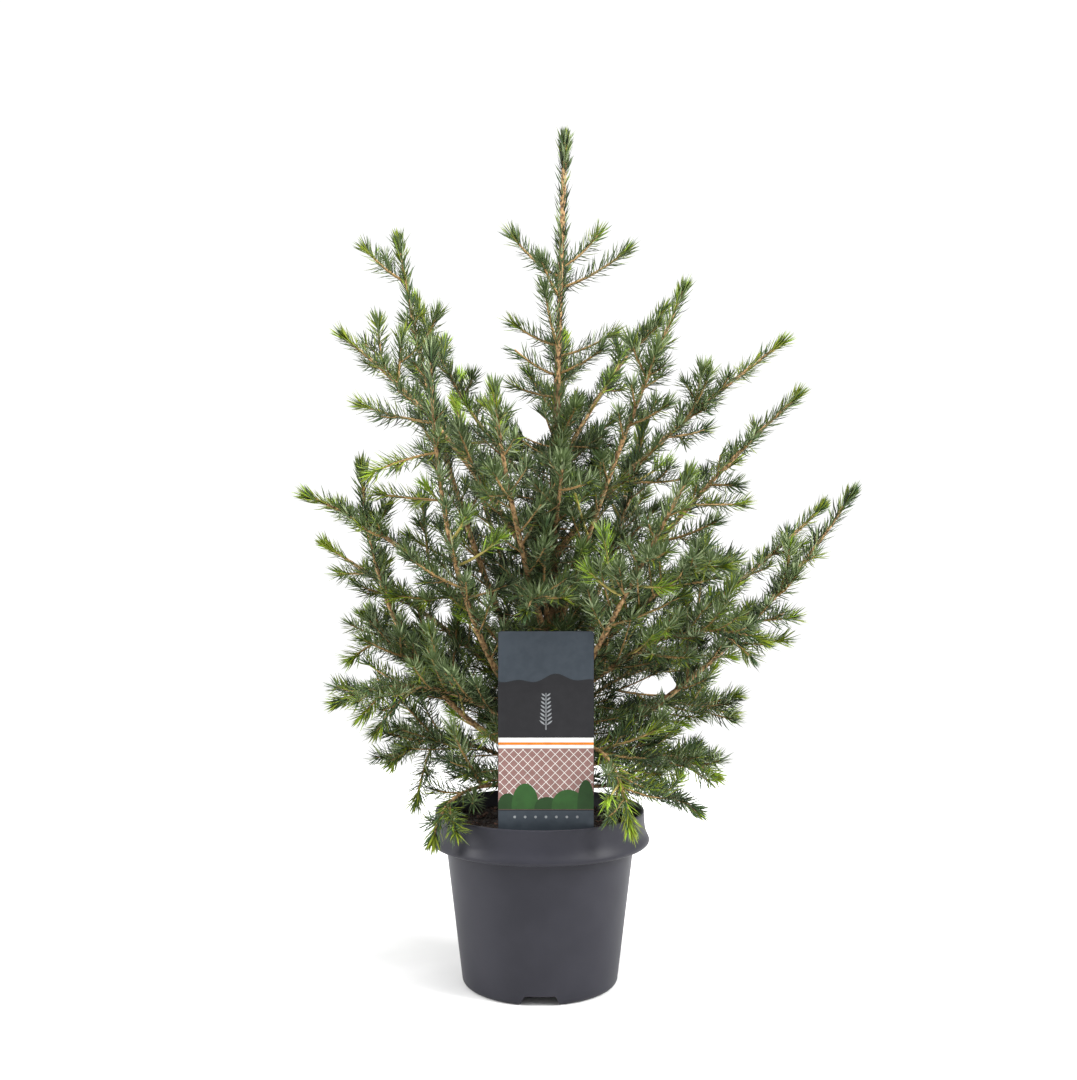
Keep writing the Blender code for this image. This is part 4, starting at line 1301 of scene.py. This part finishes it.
def toneOf(shoot, foot, share, rng):
    # needles deep inside the crown get darker tones than outer ones: painted shade, partly the darker green
    # of older needles
    out = np.hypot(foot[:, 0] - 0.012, foot[:, 1]) / crownRadius(foot[:, 2])
    toTip = np.exp(-(1.0 - share) * shoot["length"] / 0.018)
    bright = 0.13 + 0.38 * np.clip(out, 0.0, 1.1) + 0.30 * toTip * (shoot["order"] < 2)
    # needles low over the pot's rim get much darker tones, painted shade under the crown; near the top the
    # tones grow a little darker again
    bright = bright + np.interp(foot[:, 2], (0.13, 0.18, 0.50, 0.60), (-0.34, 0.0, 0.0, -0.08))
    bright = bright + rng.normal(0.0, 0.15) + rng.normal(0.0, 0.20, len(foot))
    tone = np.select([bright < 0.26, bright < 0.50, bright < 0.66, bright < 0.90], [0, 1, 2, 3], 4)
    if shoot["lime"]:
        tone = np.where(rng.random(len(foot)) < 0.7, 5, 4)
    return tone


def makeNeedles(shoots):
    materials = []
    for name, colour in needleTones.items():
        materials.append(startMaterial(name, colour, 0.5, 1.45, Specular_IOR_Level=0.2)[0])
    rng = np.random.default_rng(needles["seed"])
    byMass = {}
    for shoot in shoots:
        made = needleArrays(shoot, rng)
        if made is not None:
            byMass.setdefault(shoot["mass"], []).append(made)
    groups = []
    for region in ("leader", "left", "front", "right", "back"):
        groups.append([region, [], 0])
        for mass, made in byMass.items():
            if mass.split("_")[0] != region:
                continue
            triangles = sum(len(tone) for corners, tone in made) * len(needleFaces)
            if groups[-1][2] + triangles > needles["pieceLimit"]:
                groups.append([region, [], 0])
            groups[-1][1].append(mass)
            groups[-1][2] += triangles
    total = 0
    for index, (region, masses, triangles) in enumerate(groups):
        corners = np.concatenate([made[0] for mass in masses for made in byMass[mass]])
        tones = np.concatenate([made[1] for mass in masses for made in byMass[mass]])
        count = len(tones)
        faces = (needleFaces[None] + np.arange(count)[:, None, None] * 7).reshape(-1, 3)
        pale = rng.random(count) < needles["paleShare"]
        under = np.where(pale, 7, 6)
        materialIndex = np.where(needleUnderside[None], under[:, None], tones[:, None]).ravel()
        name = f"needles{region.title()}{index}"
        mesh = meshFromArrays(name, corners.reshape(-1, 3), faces, materialIndex)
        piece = newPiece(name, mesh, materials)
        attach(piece, "root")
        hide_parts(*[f"foliage_{mass}" for mass in masses])
        total += len(faces)
    print("needles ready,", total, "triangles in", len(groups), "pieces")


def makePlant():
    # young spruce bark: thin grey-brown plates that flake off an orange-brown layer
    trunkBark, tree, shader = startMaterial("flakingSpruceBark", "#8a5f42", 0.85, 1.45,
                                            Specular_IOR_Level=0.3)
    coordinates = mottle(tree, shader, 5.0, "#3a2c1c", "#7a6242", 0.35, 0.62, 5.0)
    roughen(tree, shader, coordinates, 0.9, 0.25)
    # bark of boughs a few years old: smooth, orange tan, ridged by the pegs of old needles
    boughBark, tree, shader = startMaterial("peggedBoughBark", "#a8744a", 0.75, 1.45,
                                            Specular_IOR_Level=0.3)
    coordinates = mottle(tree, shader, 2.6, "#4b3621", "#a5855c", 0.36, 0.60, 4.0)
    roughen(tree, shader, coordinates, 0.7, 0.2)
    # last summer's twigs: pale straw brown, slightly waxy
    twigBark = startMaterial("strawTwigBark", "#8c7046", 0.6, 1.45, Specular_IOR_Level=0.3)[0]
    # this year's: still soft and yellow green
    softBark = startMaterial("softTwigBark", "#968a4a", 0.55, 1.45, Specular_IOR_Level=0.3)[0]

    paths, stems = growSkeleton()
    print("skeleton ready,", sum(len(rows) for rows in stems.values()), "stems")
    makeTrunk(trunkBark, boughBark)
    makeBoughs(paths, boughBark)
    shoots = growShoots(paths, stems)
    makeTwigs(shoots, [twigBark, softBark])
    makeNeedles(shoots)


# the label

artwork = {
    "layer": 0.00006,
    "inks": {
        "slateInk": "#2c3238",
        "charcoalInk": "#1b1b1d",
        "paleInk": "#b2b2ae",
        "orangeInk": "#aa601a",
        "roseInk": "#6c524e",
        "mossInk": "#1b3117",
        "leafInk": "#23401d",
        "greyInk": "#6f7274",
    },
    # bare margin at the card's edge, and the foot of the sky
    "margin": 0.0003,
    "skyFoot": 0.2660,
    # foot and top of each printed field, its ink and its layer
    "fields": {
        "band": (0.2140, 0.2226, "paleInk", 1),
        "rule": (0.2168, 0.2188, "orangeInk", 2),
        "picture": (0.1640, 0.2140, "roseInk", 1),
        "strip": (0.1361, 0.1632, "slateInk", 1),
    },
    "hills": 0.0052,
    "sprigHeights": (0.2290, 0.2590),
    "sprigLeaf": 0.0060,
    "trellisPitch": 0.0075,
    "trellisWidth": 0.0006,
    # the lath's layers, then the lowest mound's layer and the step from mound to mound
    "lathLayers": (2, 2.5),
    "moundLayer": 3.0,
    "moundStep": 0.3,
    # across, half width and height of each
    "mounds": ((-0.031, 0.0085, 0.013), (-0.017, 0.0110, 0.021), (0.001, 0.0105, 0.010),
               (0.018, 0.0135, 0.016), (0.0325, 0.0070, 0.024)),
    "dots": 7,
    "dotsHeight": 0.1580,
    "dotsPitch": 0.0085,
    "dotRadius": 0.0011,
}


def labelOutline(inset):
    half = label["width"] / 2 - inset
    corner = max(label["corner"] - inset, 0.0003)
    top = label["top"] - inset
    outline = []
    for side, start in ((1, 0.0), (-1, 90.0)):
        for step in range(7):
            angle = math.radians(start + 15.0 * step)
            outline.append((side * (half - corner) + corner * math.cos(angle),
                            top - corner + corner * math.sin(angle)))
    return outline, half


def addSlab(bm, outline, near, far, ink=0):
    # a flat slab between two depths, from an outline of places across and up
    sides = []
    for y in (near, far):
        sides.append([bm.verts.new((label["centreX"] + across, y, height)) for across, height in outline])
    for face in addPrism(bm, *sides):
        face.material_index = ink


def printedCard(name, colourHex, darker, lighter):
    # screen-printed polystyrene: smooth, a soft gloss, the ink a touch uneven
    material, tree, shader = startMaterial(name, colourHex, 0.5, 1.55, Specular_IOR_Level=0.12)
    coordinates = mottle(tree, shader, 6.0, darker, lighter)
    roughen(tree, shader, coordinates, 0.8, 0.004)
    return material


def shaded(code, share):
    # the same colour, lighter or darker by a share
    parts = [min(255, round(int(code[start:start + 2], 16) * share)) for start in (1, 3, 5)]
    return "#" + "".join(f"{part:02x}" for part in parts)


def leaf(foot, bearing, length, width):
    # a narrow leaf, from its foot
    ahead = (math.cos(bearing), math.sin(bearing))
    outline = []
    for side in (1, -1):
        for step in range(7):
            share = step / 6 if side > 0 else 1.0 - step / 6
            if side < 0 and step in (0, 6):
                continue
            out = side * width / 2 * math.sin(math.pi * share) ** 0.8
            outline.append((foot[0] + ahead[0] * length * share - ahead[1] * out,
                            foot[1] + ahead[1] * length * share + ahead[0] * out))
    return outline


def makePrint(half):
    bm = bmesh.new()
    inks = list(artwork["inks"])
    front = label["frontY"]
    layer = artwork["layer"]

    def ink(outline, name, level):
        addSlab(bm, outline, front - level * layer, front - 0.1 * layer, inks.index(name))

    inside = half - artwork["margin"]
    sky, width = labelOutline(artwork["margin"])
    foot = artwork["skyFoot"]
    ink(sky + [(-width, foot), (width, foot)], "slateInk", 1)
    # rolling hills along the foot of the sky
    ridge = []
    for step in range(61):
        across = inside - 2.0 * inside * step / 60
        rise = 0.6 + 0.5 * math.sin(across * 95.0 + 0.6) + 0.35 * math.sin(across * 210.0)
        ridge.append((across, foot + 0.0014 + artwork["hills"] * max(rise, 0.05)))
    ink(ridge + [(-inside, foot), (inside, foot)], "charcoalInk", 2)
    for low, high, name, level in artwork["fields"].values():
        ink([(inside, low), (inside, high), (-inside, high), (-inside, low)], name, level)

    # a sprig between the hills and the band
    low, high = artwork["sprigHeights"]
    ink([(0.0004, low), (0.0003, high), (-0.0003, high), (-0.0004, low)], "greyInk", 1)
    for index in range(8):
        height = low + (high - low) * (index + 1.2) / 9
        for side in (1, -1):
            size = artwork["sprigLeaf"] * (1.0 - 0.05 * index)
            ink(leaf((side * 0.0006, height), math.radians(90.0 - side * 52.0), size, 0.0013), "greyInk", 1)

    # a trellis of slanting laths, then rounded bushes before it
    low, high = artwork["fields"]["picture"][:2]
    pitch = artwork["trellisPitch"]
    thin = artwork["trellisWidth"]
    for side in (1, -1):
        for index in range(-12, 13):
            # the part of the lath's line that lies inside the picture
            begin = max(low + thin, low + (-inside + thin - index * pitch) * side if side > 0 else
                        low + (index * pitch - inside + thin))
            end = min(high - thin, low + (inside - thin - index * pitch) if side > 0 else
                      low + (index * pitch + inside - thin))
            if end - begin < 0.002:
                continue
            places = [(index * pitch + side * (height - low), height) for height in (begin, end)]
            (x0, z0), (x1, z1) = places
            ink([(x0 + thin / 2, z0), (x1 + thin / 2, z1), (x1 - thin / 2, z1), (x0 - thin / 2, z0)],
                "paleInk", artwork["lathLayers"][0 if side > 0 else 1])
    for index, (across, wide, tall) in enumerate(artwork["mounds"]):
        turns = [math.radians(angle) for angle in range(0, 181, 10)]
        mound = [(min(max(across + wide * math.cos(turn), -inside), inside),
                  low + artwork["margin"] + tall * math.sin(turn) ** 0.8) for turn in turns]
        level = artwork["moundLayer"] + artwork["moundStep"] * index
        ink(mound, ("mossInk", "leafInk")[index % 2], level)
    for index in range(artwork["dots"]):
        across = (index - (artwork["dots"] - 1) / 2) * artwork["dotsPitch"]
        middle = artwork["dotsHeight"]
        size = artwork["dotRadius"]
        turns = [math.tau * step / 12 for step in range(12)]
        ink([(across + size * math.cos(turn), middle + size * math.sin(turn)) for turn in turns],
            "greyInk", 2)
    bmesh.ops.recalc_face_normals(bm, faces=bm.faces[:])
    materials = [printedCard(name, code, shaded(code, 0.96), shaded(code, 1.04))
                 for name, code in artwork["inks"].items()]
    piece = newPiece("labelPrint", meshFromBmesh("labelPrint", bm), materials)
    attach(piece, "root")


def makeLabel():
    outline, half = labelOutline(0.0)
    spike = label["spikeWidth"] / 2
    tip = label["spikeTipWidth"] / 2
    shoulder = label["spikeBottom"] + label["spikeTaper"]
    outline += [(-half, label["bottom"]), (-spike, label["bottom"]), (-spike, shoulder),
                (-tip, label["spikeBottom"]), (tip, label["spikeBottom"]), (spike, shoulder),
                (spike, label["bottom"]), (half, label["bottom"])]
    bm = bmesh.new()
    addSlab(bm, outline, label["frontY"], label["frontY"] + label["thickness"])
    bmesh.ops.recalc_face_normals(bm, faces=bm.faces[:])
    bmesh.ops.bevel(bm, geom=bm.edges[:], offset=label["edgeRounding"], segments=2, affect="EDGES",
                    clamp_overlap=True)
    bmesh.ops.recalc_face_normals(bm, faces=bm.faces[:])
    card = printedCard("printedPolystyreneCard", "#1b1b1d", "#1a1a1c", "#1d1d1f")
    piece = newPiece("labelCard", meshFromBmesh("labelCard", bm), [card])
    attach(piece, "root")
    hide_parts("plant_label")
    makePrint(half)
    print("label ready")


makeStudio()
makePot()
makeSoil()
makePlant()
makeLabel()
